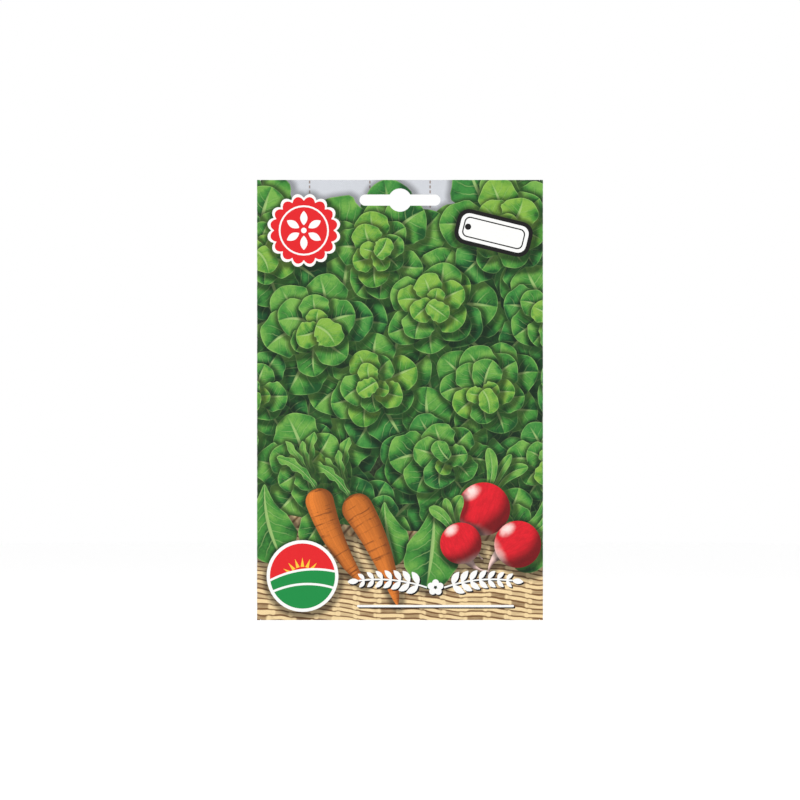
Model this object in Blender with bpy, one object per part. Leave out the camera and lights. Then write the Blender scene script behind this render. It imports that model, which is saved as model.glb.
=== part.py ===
"""Paper seed packet with a hanging slot, its inner sachet and its seeds.

The packet is one sheet of coated paper: a front, a back panel joined to the front at the left fold, a side
flap glued inside the back, and a top and a bottom flap glued over the back. The slot goes through every
layer of the header. Inside is a sachet folded from one web and heat-sealed on three sides, with the seeds.

The frame's origin is the centre of the slot's round hole, halfway through the header. X runs across the
packet to the reader's right, -Y faces the reader and +Z points up, as the packet hangs on its peg.
"""

import math
import random

import bmesh
import bpy
from mathutils import Matrix, Vector

MM = 0.001

# The outside of the packet, and its hanging slot
PACKET_WIDTH = 113.0 * MM
PACKET_HEIGHT = 174.0 * MM
SLOT_WIDTH = 32.0 * MM
SLOT_WING_HEIGHT = 4.4 * MM
SLOT_HOLE_RADIUS = 4.6 * MM
SLOT_BELOW_TOP = 8.0 * MM
WING_STEPS = 10
HOLE_STEPS = 16
PUNCH_REACH = 4.0 * MM

# The paper sheet: its thickness, the glue line between two layers, and its flaps
PAPER = 0.15 * MM
GLUE = 0.05 * MM
SIDE_FLAP_EDGE = 44.0 * MM
BACK_PANEL_EDGE = 54.0 * MM
TOP_FLAP_HEIGHT = 20.0 * MM
BOTTOM_FLAP_HEIGHT = 15.0 * MM
FLAP_HALF_WIDTH = 55.0 * MM
FLAP_TAPER = 5.0 * MM
TAPER_STARTS = 0.8
FOLD_STEPS = 4

# The inner sachet, and how its flat outline and its filled belly lift the paper
FOIL = 0.10 * MM
SEAL_GAP = 0.10 * MM
SACHET_WIDTH = 86.0 * MM
SACHET_BOTTOM = -159.0 * MM
SACHET_TOP = -41.0 * MM
SACHET_LIFT = 0.45 * MM
LIFT_FREE_X = 52.0 * MM
LIFT_FADE = 9.0 * MM
BELLY = 3.3 * MM
BELLY_Z = -128.0 * MM
PAPER_BELLY = (52.0 * MM, -165.0 * MM, -50.0 * MM, 1.3)
SACHET_BELLY = (38.5 * MM, -156.5 * MM, -76.0 * MM, 1.1)

# The seeds: wedge-shaped, blunt at the crown, and a core that they stand out of
SEED_LENGTH = 2.8 * MM
SEED_CROWN = 0.72 * MM
SEED_TIP = 0.34 * MM
SEED_SIDES = 5
SEED_PITCH = 5.2 * MM
SEED_CLEARANCE = 0.35 * MM
SEED_SINK = 0.15 * MM
SEED_LEAST_DEPTH = 0.3 * MM
SEED_SHIFT = 0.6 * MM
CORE_ROWS = 9
CORE_SIDES = 16
ROOM_SEARCH_STEPS = 30
RANDOM_SEED = 11

# Places that follow from the sizes above
TOP_Z = SLOT_BELOW_TOP
BOTTOM_Z = TOP_Z - PACKET_HEIGHT
LAYER = PAPER + GLUE
FRONT_Y = -1.5 * LAYER
SIDE_FLAP_Y = -0.5 * LAYER
BACK_Y = 0.5 * LAYER
FLAP_Y = 1.5 * LAYER
END_FOLD_RADIUS = (FLAP_Y - FRONT_Y) / 2
LEFT_FOLD_RADIUS = (BACK_Y - FRONT_Y) / 2
RIGHT_FOLD_RADIUS = (SIDE_FLAP_Y - FRONT_Y) / 2
LEFT_X = -PACKET_WIDTH / 2 + LEFT_FOLD_RADIUS + PAPER / 2
RIGHT_X = PACKET_WIDTH / 2 - RIGHT_FOLD_RADIUS - PAPER / 2
LOW_Z = BOTTOM_Z + END_FOLD_RADIUS + PAPER / 2
HIGH_Z = TOP_Z - END_FOLD_RADIUS - PAPER / 2
MIDDLE_Y = (FRONT_Y + BACK_Y) / 2
WEB_OFFSET = (FOIL + SEAL_GAP) / 2

# Grid lines as runs of (from, to, step) in millimetres from the origin, closer where the sheet bends more
PAPER_HALF_COLUMN_RUNS = ((0, 30, 10), (30, 44, 7), (44, 52.5, 2.83))
PAPER_ROW_RUNS = ((-163, -151, 3), (-151, -131, 5), (-131, -101, 6), (-101, -51, 10), (-51, -31, 5), (-31, -12, 19))
SACHET_HALF_COLUMN_RUNS = ((0, 27, 9), (27, 38.5, 5.75), (38.5, 43, 4.5))
SACHET_ROW_RUNS = ((-156.5, -146.5, 5), (-146.5, -122.5, 6), (-122.5, -76, 9.3), (-76, -49, 27), (-49, -41, 8))


def clear_scene():
    for obj in list(bpy.data.objects):
        bpy.data.objects.remove(obj)


def grid_lines(runs):
    """Evenly spaced places along each run, and the last run's end, in metres."""
    lines = []
    for start, end, step in runs:
        count = round((end - start) / step)
        lines += [(start + (end - start) * i / count) * MM for i in range(count)]
    return lines + [runs[-1][1] * MM]


def both_sides(lines):
    return sorted({sign * x for sign in (-1, 1) for x in lines})


def ramp(value, start, end):
    """0 before start, 1 past end, and a smooth rise between them. End may be below start."""
    share = min(1.0, max(0.0, (value - start) / (end - start)))
    return share * share * (3 - 2 * share)


def swell(x, z, shape):
    """Share of the belly's height over (x, z), for a belly of this half width, foot, head and fullness."""
    half_width, foot, head, fullness = shape
    across = max(0.0, 1 - (x / half_width) ** 2) ** fullness
    return across * ramp(z, foot, BELLY_Z) * ramp(z, head, BELLY_Z)


def paper_lift(x, z):
    """How far the contents push the front and the back panel out from the flat."""
    outline = (
        ramp(abs(x), LIFT_FREE_X, SACHET_WIDTH / 2)
        * ramp(z, LOW_Z, SACHET_BOTTOM)
        * ramp(z, SACHET_TOP + LIFT_FADE, SACHET_TOP)
    )
    return SACHET_LIFT * outline + BELLY * swell(x, z, PAPER_BELLY)


def sachet_lift(x, z):
    return BELLY * swell(x, z, SACHET_BELLY)


def material(name, colour, roughness, metallic=0.0):
    made = bpy.data.materials.new(name)
    made.use_nodes = True
    shader = made.node_tree.nodes["Principled BSDF"]
    shader.inputs["Base Color"].default_value = (*colour, 1.0)
    shader.inputs["Roughness"].default_value = roughness
    shader.inputs["Metallic"].default_value = metallic
    return made


def new_object(name, mesh, finish):
    mesh.materials.append(finish)
    obj = bpy.data.objects.new(name, mesh)
    bpy.context.scene.collection.objects.link(obj)
    return obj


def fold_arc(centre, radius, start, end):
    """Points inside a half turn about centre, from the start angle to the end angle, in degrees."""
    angles = [math.radians(start + (end - start) * step / FOLD_STEPS) for step in range(1, FOLD_STEPS)]
    return [(centre[0] + radius * math.cos(a), centre[1] + radius * math.sin(a)) for a in angles]


def ring_stations():
    """The (x, y) of each station round the packet at height z, as functions, from the side flap to the back."""
    columns = both_sides(grid_lines(PAPER_HALF_COLUMN_RUNS) + [FLAP_HALF_WIDTH])
    stations = []
    for x in [c for c in columns if c >= SIDE_FLAP_EDGE] + [RIGHT_X]:
        stations.append(lambda z, x=x: (x, SIDE_FLAP_Y + paper_lift(x, z)))
    for x, y in fold_arc((RIGHT_X, (FRONT_Y + SIDE_FLAP_Y) / 2), RIGHT_FOLD_RADIUS, 90, -90):
        stations.append(lambda z, x=x, y=y: (x, y))
    front = [RIGHT_X] + columns[::-1] + [LEFT_X]
    first = len(stations)
    for x in front:
        stations.append(lambda z, x=x: (x, FRONT_Y - paper_lift(x, z)))
    for x, y in fold_arc((LEFT_X, MIDDLE_Y), LEFT_FOLD_RADIUS, -90, -270):
        stations.append(lambda z, x=x, y=y: (x, y))
    for x in [LEFT_X] + columns[:-1] + [BACK_PANEL_EDGE]:
        stations.append(lambda z, x=x: (x, BACK_Y + paper_lift(x, z)))
    flap_span = [first + i for i, x in enumerate(front) if abs(x) <= FLAP_HALF_WIDTH]
    return stations, flap_span


def add_strip(bm, rows):
    """Faces between each row of vertices and the next."""
    for low, high in zip(rows, rows[1:]):
        for a, b, c, d in zip(low, low[1:], high[1:], high):
            bm.faces.new((a, b, c, d))


def add_flap(bm, hinge, fold_z, side, height, rows):
    """A flap that turns over the fold at the front's edge and lies on the back. Side is 1 at the top, -1 below."""
    lines = [hinge]
    for y, rise in fold_arc((0, 0), END_FOLD_RADIUS, 180, 0):
        lines.append([bm.verts.new((v.co.x, y, fold_z + side * rise)) for v in hinge])
    for z in rows:
        reach = abs(z - fold_z) / height
        line = []
        for v in hinge:
            edge = abs(v.co.x) / FLAP_HALF_WIDTH
            x = v.co.x - math.copysign(FLAP_TAPER * reach * ramp(edge, TAPER_STARTS, 1.0), v.co.x)
            line.append(bm.verts.new((x, FLAP_Y + paper_lift(x, z), z)))
        lines.append(line)
    add_strip(bm, lines)


def slot_outline():
    """The (x, z) outline of the slot: a round hole with a wing on each side, whose ends are half circles."""
    end_radius = SLOT_WING_HEIGHT / 2
    end_x = SLOT_WIDTH / 2 - end_radius
    corner = math.asin(end_radius / SLOT_HOLE_RADIUS)

    def arc(centre_x, radius, start, end, steps):
        angles = [start + (end - start) * i / steps for i in range(steps + 1)]
        return [(centre_x + radius * math.cos(a), radius * math.sin(a)) for a in angles]

    half = math.pi / 2
    return (
        arc(end_x, end_radius, -half, half, WING_STEPS)
        + arc(0, SLOT_HOLE_RADIUS, corner, math.pi - corner, HOLE_STEPS)
        + arc(-end_x, end_radius, half, 3 * half, WING_STEPS)
        + arc(0, SLOT_HOLE_RADIUS, math.pi + corner, 2 * math.pi - corner, HOLE_STEPS)
    )


def slot_cutter():
    """The punch that cuts the slot through the header."""
    bm = bmesh.new()
    face = bm.faces.new([bm.verts.new((x, -PUNCH_REACH, z)) for x, z in slot_outline()])
    grown = bmesh.ops.extrude_face_region(bm, geom=[face])
    moved = [v for v in grown["geom"] if isinstance(v, bmesh.types.BMVert)]
    bmesh.ops.translate(bm, vec=(0, 2 * PUNCH_REACH, 0), verts=moved)
    bmesh.ops.recalc_face_normals(bm, faces=bm.faces)
    mesh = bpy.data.meshes.new("slot_cutter")
    bm.to_mesh(mesh)
    bm.free()
    cutter = new_object("slot_cutter", mesh, material("cutter", (0.5, 0.5, 0.5), 0.5))
    cutter.hide_render = True
    cutter.display_type = "WIRE"
    return cutter


def build_packet():
    """The folded sheet: a ring of stations round the packet, and the top and bottom flaps."""
    bm = bmesh.new()
    stations, flap_span = ring_stations()
    levels = [LOW_Z] + grid_lines(PAPER_ROW_RUNS) + [HIGH_Z]
    rows = [[bm.verts.new((*station(z), z)) for station in stations] for z in levels]
    add_strip(bm, rows)
    bottom_rows = [z for z in levels if z < LOW_Z + BOTTOM_FLAP_HEIGHT]
    add_flap(bm, [rows[0][i] for i in flap_span], LOW_Z, -1, BOTTOM_FLAP_HEIGHT, bottom_rows)
    top_rows = [HIGH_Z, HIGH_Z - TOP_FLAP_HEIGHT]
    add_flap(bm, [rows[-1][i] for i in flap_span], HIGH_Z, 1, TOP_FLAP_HEIGHT, top_rows)
    bmesh.ops.recalc_face_normals(bm, faces=bm.faces)
    mesh = bpy.data.meshes.new("packet")
    bm.to_mesh(mesh)
    bm.free()
    mesh.shade_smooth()
    packet = new_object("packet", mesh, material("coated_paper", (0.20, 0.42, 0.12), 0.35))
    thicken(packet, PAPER)
    punch = packet.modifiers.new("hanging slot", "BOOLEAN")
    punch.operation = "DIFFERENCE"
    punch.object = slot_cutter()
    return packet


def thicken(obj, thickness):
    wall = obj.modifiers.new("thickness", "SOLIDIFY")
    wall.thickness = thickness
    wall.offset = 0
    wall.use_even_offset = True


def build_sachet():
    """One web folded at the bottom, with both halves sealed together along the sides and the top."""
    bm = bmesh.new()
    columns = both_sides(grid_lines(SACHET_HALF_COLUMN_RUNS))
    rows = grid_lines(SACHET_ROW_RUNS)

    def line(z, side):
        return [bm.verts.new((x, MIDDLE_Y + side * (WEB_OFFSET + sachet_lift(x, z)), z)) for x in columns]

    lines = [line(z, -1) for z in rows[::-1]]
    for y, z in fold_arc((MIDDLE_Y, SACHET_BOTTOM + WEB_OFFSET + FOIL / 2), WEB_OFFSET, 180, 360):
        lines.append([bm.verts.new((x, y, z)) for x in columns])
    lines += [line(z, 1) for z in rows]
    add_strip(bm, lines)
    bmesh.ops.recalc_face_normals(bm, faces=bm.faces)
    mesh = bpy.data.meshes.new("sachet")
    bm.to_mesh(mesh)
    bm.free()
    mesh.shade_smooth()
    sachet = new_object("sachet", mesh, material("foil_laminate", (0.78, 0.78, 0.76), 0.3, 0.6))
    thicken(sachet, FOIL)
    return sachet


def seed_core():
    """The closed heap that the seeds stand out of: rings across the belly, with a point at each end."""
    least = SEED_CROWN + SEED_CLEARANCE
    half_width, foot, head, fullness = SACHET_BELLY

    def reach(z):
        """Half the heap's width at z, where the sachet leaves room for one seed."""
        room = least / sachet_lift(0, z)
        return half_width * math.sqrt(max(0.0, 1 - room ** (1 / fullness)))

    def end_of_room(outer):
        """Where, between the sachet's end and the belly's middle, there is room for one seed."""
        inner = BELLY_Z
        for _ in range(ROOM_SEARCH_STEPS):
            middle = (outer + inner) / 2
            if sachet_lift(0, middle) < least:
                outer = middle
            else:
                inner = middle
        return inner

    low, high = end_of_room(foot), end_of_room(head)
    bm = bmesh.new()
    rings = []
    for row in range(1, CORE_ROWS + 1):
        z = low + (high - low) * (1 - math.cos(math.pi * row / (CORE_ROWS + 1))) / 2
        ring = []
        for side in range(CORE_SIDES):
            turn = 2 * math.pi * side / CORE_SIDES
            x = reach(z) * math.cos(turn)
            depth = sachet_lift(x, z) - least + SEED_SINK
            across = round(math.sin(turn), 6)
            y = MIDDLE_Y + (math.copysign(depth, across) if across else 0.0)
            ring.append(bm.verts.new((x, y, z)))
        rings.append(ring)
    for lower, upper in zip(rings, rings[1:]):
        for i, vert in enumerate(lower):
            after = (i + 1) % CORE_SIDES
            bm.faces.new((vert, lower[after], upper[after], upper[i]))
    for ring, z in ((rings[0], low), (rings[-1], high)):
        pole = bm.verts.new((0, MIDDLE_Y, z))
        for i, vert in enumerate(ring):
            bm.faces.new((vert, ring[(i + 1) % CORE_SIDES], pole))
    bmesh.ops.recalc_face_normals(bm, faces=bm.faces)
    mesh = bpy.data.meshes.new("seeds")
    bm.to_mesh(mesh)
    bm.free()
    return new_object("seeds", mesh, material("seed_coat", (0.42, 0.31, 0.19), 0.7)), low, high


def seed_mesh():
    """One seed along Z, a five-sided wedge from its narrow tip to its blunt crown."""
    bm = bmesh.new()
    bmesh.ops.create_cone(
        bm, cap_ends=True, segments=SEED_SIDES, radius1=SEED_TIP, radius2=SEED_CROWN, depth=SEED_LENGTH
    )
    mesh = bpy.data.meshes.new("one_seed")
    bm.to_mesh(mesh)
    bm.free()
    return mesh


def build_seeds():
    """Seeds lying in rows over both faces of the core, each turned at random and sunk into it."""
    core, low, high = seed_core()
    draw = random.Random(RANDOM_SEED)
    shape = seed_mesh()
    loose = bpy.data.collections.new("loose_seeds")
    bpy.context.scene.collection.children.link(loose)
    rows = int((high - low) / SEED_PITCH)
    columns = int(SACHET_BELLY[0] / SEED_PITCH) + 1
    for row in range(1, rows):
        z = low + SEED_PITCH * row
        for column in range(-columns, columns + 1):
            x = SEED_PITCH * (column + 0.5 * (row % 2))
            depth = sachet_lift(x, z) - SEED_CROWN - SEED_CLEARANCE
            if depth < SEED_LEAST_DEPTH:
                continue
            for face in (-1, 1):
                turn = Matrix.Rotation(draw.uniform(0, 2 * math.pi), 4, "Y")
                shift = draw.uniform(-SEED_SHIFT, SEED_SHIFT)
                place = Vector((x + shift, MIDDLE_Y + face * depth, z))
                seed = bpy.data.objects.new("loose_seed", shape)
                seed.matrix_world = Matrix.Translation(place) @ turn
                loose.objects.link(seed)
    union = core.modifiers.new("seeds on the heap", "BOOLEAN")
    union.operation = "UNION"
    union.operand_type = "COLLECTION"
    union.collection = loose
    graph = bpy.context.evaluated_depsgraph_get()
    joined = bpy.data.meshes.new_from_object(core.evaluated_get(graph))
    core.modifiers.clear()
    core.data = joined
    for seed in list(loose.objects):
        bpy.data.objects.remove(seed)
    bpy.data.collections.remove(loose)
    return core


def main():
    clear_scene()
    build_packet()
    build_sachet()
    build_seeds()


main()
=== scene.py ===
"""Looks of a paper seed packet: its printed and folded sheet, the foil sachet inside it and the seeds.

The file is laid out as a Blender add-on and is run as a script. The sheet is made as a real packet is: a flat
net is covered with printed motifs, cut out, and then folded, with each flap where it is glued.
"""

import math
import random

import bmesh
import bpy
import numpy as np
from mathutils import Matrix, Vector, geometry, kdtree


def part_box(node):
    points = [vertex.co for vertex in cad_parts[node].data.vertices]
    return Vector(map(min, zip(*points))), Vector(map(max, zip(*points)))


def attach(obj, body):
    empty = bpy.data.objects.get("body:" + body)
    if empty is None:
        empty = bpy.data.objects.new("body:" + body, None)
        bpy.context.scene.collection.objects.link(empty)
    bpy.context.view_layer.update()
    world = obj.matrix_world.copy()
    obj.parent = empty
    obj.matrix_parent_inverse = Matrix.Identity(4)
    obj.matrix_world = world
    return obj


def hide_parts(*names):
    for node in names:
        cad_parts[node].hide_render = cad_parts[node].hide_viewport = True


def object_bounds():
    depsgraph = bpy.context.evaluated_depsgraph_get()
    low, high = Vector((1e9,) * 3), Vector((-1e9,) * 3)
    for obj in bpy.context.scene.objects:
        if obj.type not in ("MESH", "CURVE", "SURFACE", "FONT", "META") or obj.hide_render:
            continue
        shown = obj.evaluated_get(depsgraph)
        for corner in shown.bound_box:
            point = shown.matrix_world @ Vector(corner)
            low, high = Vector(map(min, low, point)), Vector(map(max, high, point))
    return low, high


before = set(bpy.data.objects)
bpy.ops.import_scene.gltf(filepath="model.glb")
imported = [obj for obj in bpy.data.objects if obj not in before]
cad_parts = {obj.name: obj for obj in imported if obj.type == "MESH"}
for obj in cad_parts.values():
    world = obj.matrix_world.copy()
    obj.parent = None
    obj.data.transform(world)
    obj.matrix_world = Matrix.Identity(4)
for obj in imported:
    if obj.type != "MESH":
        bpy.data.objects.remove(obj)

bl_info = {
    "name": "Seed Packet",
    "version": (1, 0, 0),
    "blender": (4, 5, 0),
    "location": "View3D > Sidebar > Seed Packet",
    "description": "Prints, folds and fills a paper seed packet with a hanging slot",
    "category": "Object",
}

MM = 0.001
CAD_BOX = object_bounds()
PACKET_LOW, PACKET_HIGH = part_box("packet")

# The packet's outside, in millimetres from the centre of the slot's hole
TOP = PACKET_HIGH[2] / MM
BOTTOM = PACKET_LOW[2] / MM
HALF_WIDTH = PACKET_HIGH[0] / MM

# The paper, the glue line between its layers, and the flaps, in millimetres
PAPER = 0.15
GLUE = 0.05
SIDE_FLAP_EDGE = 44.0
BACK_PANEL_EDGE = 54.0
TOP_FLAP_HEIGHT = 20.0
BOTTOM_FLAP_HEIGHT = 14.6
FLAP_HALF_WIDTH = 55.0
FLAP_TAPER = 5.0
EAR_DEPTH = 0.9
EAR_CUT = 0.15
EAR_INSET = 0.015
SLOT_WIDTH = 32.0
SLOT_WING_HEIGHT = 4.4
SLOT_HOLE_RADIUS = 4.6
BLEED = 1.3

# How the sachet and the seeds lift the paper, in millimetres
SACHET_HALF_WIDTH = 43.0
SACHET_BOTTOM = -159.0
SACHET_TOP = -41.0
SACHET_LIFT = 0.45
LIFT_FREE_X = 52.0
LIFT_FADE = 9.0
BELLY = 3.3
BELLY_Z = -128.0

# Half width, foot, head and fullness of the belly in the paper and in the sachet
PAPER_BELLY = (52.0, -165.0, -50.0, 1.3)
SACHET_BELLY = (38.5, -156.5, -76.0, 1.1)

# Height of the paper's soft creases
CREASE = 0.10

# Places that follow from the sizes above
LAYER = PAPER + GLUE
FRONT_Y = -1.5 * LAYER
SIDE_FLAP_Y = -0.5 * LAYER
BACK_Y = 0.5 * LAYER
FLAP_Y = 1.5 * LAYER
END_FOLD = (FLAP_Y - FRONT_Y) / 2
LEFT_FOLD = (BACK_Y - FRONT_Y) / 2
RIGHT_FOLD = (SIDE_FLAP_Y - FRONT_Y) / 2
LEFT_X = -HALF_WIDTH + LEFT_FOLD + PAPER / 2
RIGHT_X = HALF_WIDTH - RIGHT_FOLD - PAPER / 2
LOW_Z = BOTTOM + END_FOLD + PAPER / 2
HIGH_Z = TOP - END_FOLD - PAPER / 2
MIDDLE_Y = (FRONT_Y + BACK_Y) / 2

# The corners beside the flaps stand as high as the folds
EAR_LOW = BOTTOM + EAR_INSET
EAR_HIGH = TOP - EAR_INSET

# The flat net: where each panel starts, past its fold's arc
BACK_START = LEFT_X - math.pi * LEFT_FOLD
SIDE_FLAP_START = RIGHT_X + math.pi * RIGHT_FOLD
TOP_FLAP_START = HIGH_Z + math.pi * END_FOLD
BOTTOM_FLAP_START = LOW_Z - math.pi * END_FOLD

# The sheet's mesh: spacing of its points on the printed and on the inner side, how near two points may come,
# the free gap beside a line, and steps round a fold
PRINT_PITCH = 1.5
LINING_PITCH = 4.0
MERGE = 0.01
LINE_GAP = 0.5
FOLD_STEPS = 4

# How far in from the sides and the ends the folds are worn, and how far outside them the paper would be bare
SIDE_WEAR = 0.28
END_WEAR = 0.25
BARE_AT = 0.05

# The part of the light that the bare coated paper sends back
PAPER_WHITE = 0.84

# Where the printed picture's light comes from, the upper left: its shares right, up and out of the paper
PRINT_LIGHT = np.array((-0.45, 0.62, 0.64)) / math.sqrt(0.45**2 + 0.62**2 + 0.64**2)

# How far a shadow is looked for towards the light, how wide it fades, and how far in a motif's rim is known
SHADOW_SHIFT = np.array((-0.5, 0.8))
SHADOW_REACH = 6.0
EDGE_REACH = 5.0


def linear(red, green, blue):
    """A colour given as 0 to 255 on screen, as Blender's linear values."""
    def one(value):
        share = value / 255
        return share / 12.92 if share <= 0.04045 else ((share + 0.055) / 1.055) ** 2.4
    return (one(red), one(green), one(blue))


def on_paper(red, green, blue):
    """An ink's colour as the paper shows it, which sends back only a part of the light itself."""
    return tuple(PAPER_WHITE * value for value in linear(red, green, blue))


def colour_property(name, description, red, green, blue):
    """A colour setting, given as 0 to 255 on screen and kept as the paper shows it."""
    return bpy.props.FloatVectorProperty(
        name=name, description=description, subtype="COLOR", size=3, min=0.0, max=1.0,
        default=on_paper(red, green, blue),
    )


def length_property(name, description, default):
    return bpy.props.FloatProperty(name=name, description=description, default=default, unit="LENGTH")


class PrintColours(bpy.types.PropertyGroup):
    leaf_dark: colour_property("Leaf shade", "Leaf green in the shade", 20, 78, 34)
    leaf_mid: colour_property("Leaf green", "Leaf green in even light", 64, 136, 54)
    leaf_light: colour_property("Leaf light", "Leaf green in full light", 118, 172, 76)
    leaf_rib: colour_property("Leaf rib", "Midribs and leaf rims", 168, 200, 122)
    soil: colour_property("Soil", "Dark ground between the leaves", 24, 34, 18)
    linen: colour_property("Linen", "Cloth behind the leaves", 205, 208, 214)
    straw_light: colour_property("Straw light", "Strands of the straw mat", 242, 214, 162)
    straw_dark: colour_property("Straw dark", "Gaps of the straw mat", 116, 80, 46)
    radish: colour_property("Radish", "Radish skin", 222, 24, 40)
    carrot: colour_property("Carrot", "Carrot skin", 252, 142, 52)
    seal_red: colour_property("Seal red", "Red of the seal and the roundel", 226, 30, 36)
    sun: colour_property("Sun", "Yellow of the roundel's sun", 250, 202, 60)
    hill_green: colour_property("Hill green", "Green of the roundel and the back's bands", 18, 140, 66)
    white: colour_property("White", "Unprinted coated paper", 247, 247, 245)
    black: colour_property("Black", "Black ink", 16, 14, 14)
    cream: colour_property("Cream", "Ground of the back panel", 240, 236, 220)
    pale_green: colour_property("Pale green", "Tint on the back panel", 208, 222, 180)


class SheetSettings(bpy.types.PropertyGroup):
    paper_roughness: bpy.props.FloatProperty(
        name="Coating roughness", description="How matt the coated paper is", default=0.42, min=0.0, max=1.0,
        subtype="FACTOR",
    )
    fibre: length_property("Fibre height", "Height of the paper's fine relief", 0.00002)
    rosette_radius: length_property("Rosette radius", "Radius of a printed leaf rosette", 0.032)
    print_seed: bpy.props.IntProperty(
        name="Print seed", description="Seed of the printed leaves' small differences", default=4
    )


class SachetSettings(bpy.types.PropertyGroup):
    seal_width: length_property("Seal width", "Width of the heat-sealed borders", 0.0045)
    rib_pitch: length_property("Rib pitch", "Distance between two ribs of a seal", 0.0009)
    rib_height: length_property("Rib height", "Height of the seal's ribs", 0.00006)
    crumple: length_property("Crumple", "Height of the foil's soft creases", 0.00012)


class SeedSettings(bpy.types.PropertyGroup):
    seed_length: length_property("Seed length", "Length of one seed", 0.0027)
    spacing: length_property("Seed spacing", "Least distance between two seeds", 0.0013)
    scatter_seed: bpy.props.IntProperty(
        name="Scatter seed", description="Seed of the places and turns of the seeds", default=7
    )


class StageSettings(bpy.types.PropertyGroup):
    frame_width: length_property("Frame width", "Width that the view takes in at the packet", 0.3152)
    focal_length: bpy.props.FloatProperty(
        name="Focal length", description="Focal length of the camera in millimetres", default=150.0, min=1.0
    )
    floor_gap: length_property("Floor gap", "Distance of the floor below the hanging packet", 0.14)


class Tree:
    """Short ways to add nodes to a shader tree and link them."""

    def __init__(self, tree):
        self.tree = tree

    def feed(self, socket, value):
        if isinstance(value, bpy.types.NodeSocket):
            self.tree.links.new(value, socket)
            return
        if isinstance(socket.default_value, float):
            socket.default_value = value
        elif len(socket.default_value) == 4 and len(value) == 3:
            socket.default_value = (*value, 1.0)
        else:
            socket.default_value = value

    def node(self, kind, settings=None, **inputs):
        node = self.tree.nodes.new(kind)
        for name, value in (settings or {}).items():
            setattr(node, name, value)
        for name, value in inputs.items():
            self.feed(node.inputs[name.replace("_", " ")], value)
        return node

    def math(self, operation, *values):
        node = self.node("ShaderNodeMath", {"operation": operation})
        for socket, value in zip(node.inputs, values):
            self.feed(socket, value)
        return node.outputs[0]

    def add(self, *values):
        total = values[0]
        for value in values[1:]:
            total = self.math("ADD", total, value)
        return total

    def times(self, *values):
        total = values[0]
        for value in values[1:]:
            total = self.math("MULTIPLY", total, value)
        return total

    def rise(self, value, low, high, bottom=0.0, top=1.0):
        """A smooth step from bottom to top as value goes from low to high."""
        node = self.node("ShaderNodeMapRange", {"interpolation_type": "SMOOTHSTEP"})
        for socket, given in zip(node.inputs, (value, low, high, bottom, top)):
            self.feed(socket, given)
        return node.outputs[0]

    def mix(self, factor, first, second, blend="MIX"):
        node = self.node("ShaderNodeMix", {"data_type": "RGBA", "blend_type": blend})
        for socket, given in zip((node.inputs[0], node.inputs[6], node.inputs[7]), (factor, first, second)):
            self.feed(socket, given)
        return node.outputs[2]

    def vector(self, x=0.0, y=0.0, z=0.0):
        return self.node("ShaderNodeCombineXYZ", X=x, Y=y, Z=z).outputs[0]

    def apart(self, vector):
        return self.node("ShaderNodeSeparateXYZ", Vector=vector).outputs

    def noise(self, vector, scale, detail=2.0, roughness=0.5):
        return self.node(
            "ShaderNodeTexNoise", Vector=vector, Scale=scale, Detail=detail, Roughness=roughness
        ).outputs[0]

    def bump(self, strength, distance, height):
        return self.node("ShaderNodeBump", Strength=strength, Distance=distance, Height=height).outputs[0]

    def place(self):
        """Where a point lies on its object, in metres."""
        return self.node("ShaderNodeTexCoord").outputs["Object"]

    def centred(self, value):
        """A value between 0 and 1, moved to between -0.5 and 0.5."""
        return self.add(value, -0.5)

    def dimmed(self, colour, share):
        """The colour with this share of its light."""
        return self.mix(1.0, colour, self.vector(share, share, share), "MULTIPLY")


def new_group(name, inputs, outputs):
    """A shader node group with these inputs and outputs, as (name, kind) or (name, kind, default)."""
    group = bpy.data.node_groups.new(name, "ShaderNodeTree")
    for label, kind, *default in inputs:
        socket = group.interface.new_socket(name=label, in_out="INPUT", socket_type=kind)
        if default:
            socket.default_value = default[0]
    for label, kind in outputs:
        group.interface.new_socket(name=label, in_out="OUTPUT", socket_type=kind)
    tree = Tree(group)
    return tree, group.nodes.new("NodeGroupInput").outputs, group.nodes.new("NodeGroupOutput").inputs


FLOAT, COLOUR, VECTOR = "NodeSocketFloat", "NodeSocketColor", "NodeSocketVector"


def new_material(name):
    """A new material, with its tree and the inputs of its shader."""
    made = bpy.data.materials.new(name)
    made.use_nodes = True
    return made, Tree(made.node_tree), made.node_tree.nodes["Principled BSDF"].inputs


def paper_surface_group():
    """The coated paper's own finish: a fine relief, and a roughness that changes a little over the sheet."""
    tree, given, out = new_group(
        "coated_paper_surface",
        [("Roughness", FLOAT, 0.4), ("Fibre Height", FLOAT, 0.00002)],
        [("Roughness", FLOAT), ("Normal", VECTOR)],
    )
    place = tree.place()
    fibres = tree.noise(place, 2600.0, 3.0, 0.6)
    cloudy = tree.noise(place, 55.0, 2.0)
    relief = tree.bump(0.6, given["Fibre Height"], fibres)
    tree.feed(out["Roughness"], tree.add(given["Roughness"], tree.times(tree.centred(cloudy), 0.12)))
    tree.feed(out["Normal"], relief)
    return tree.tree


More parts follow.
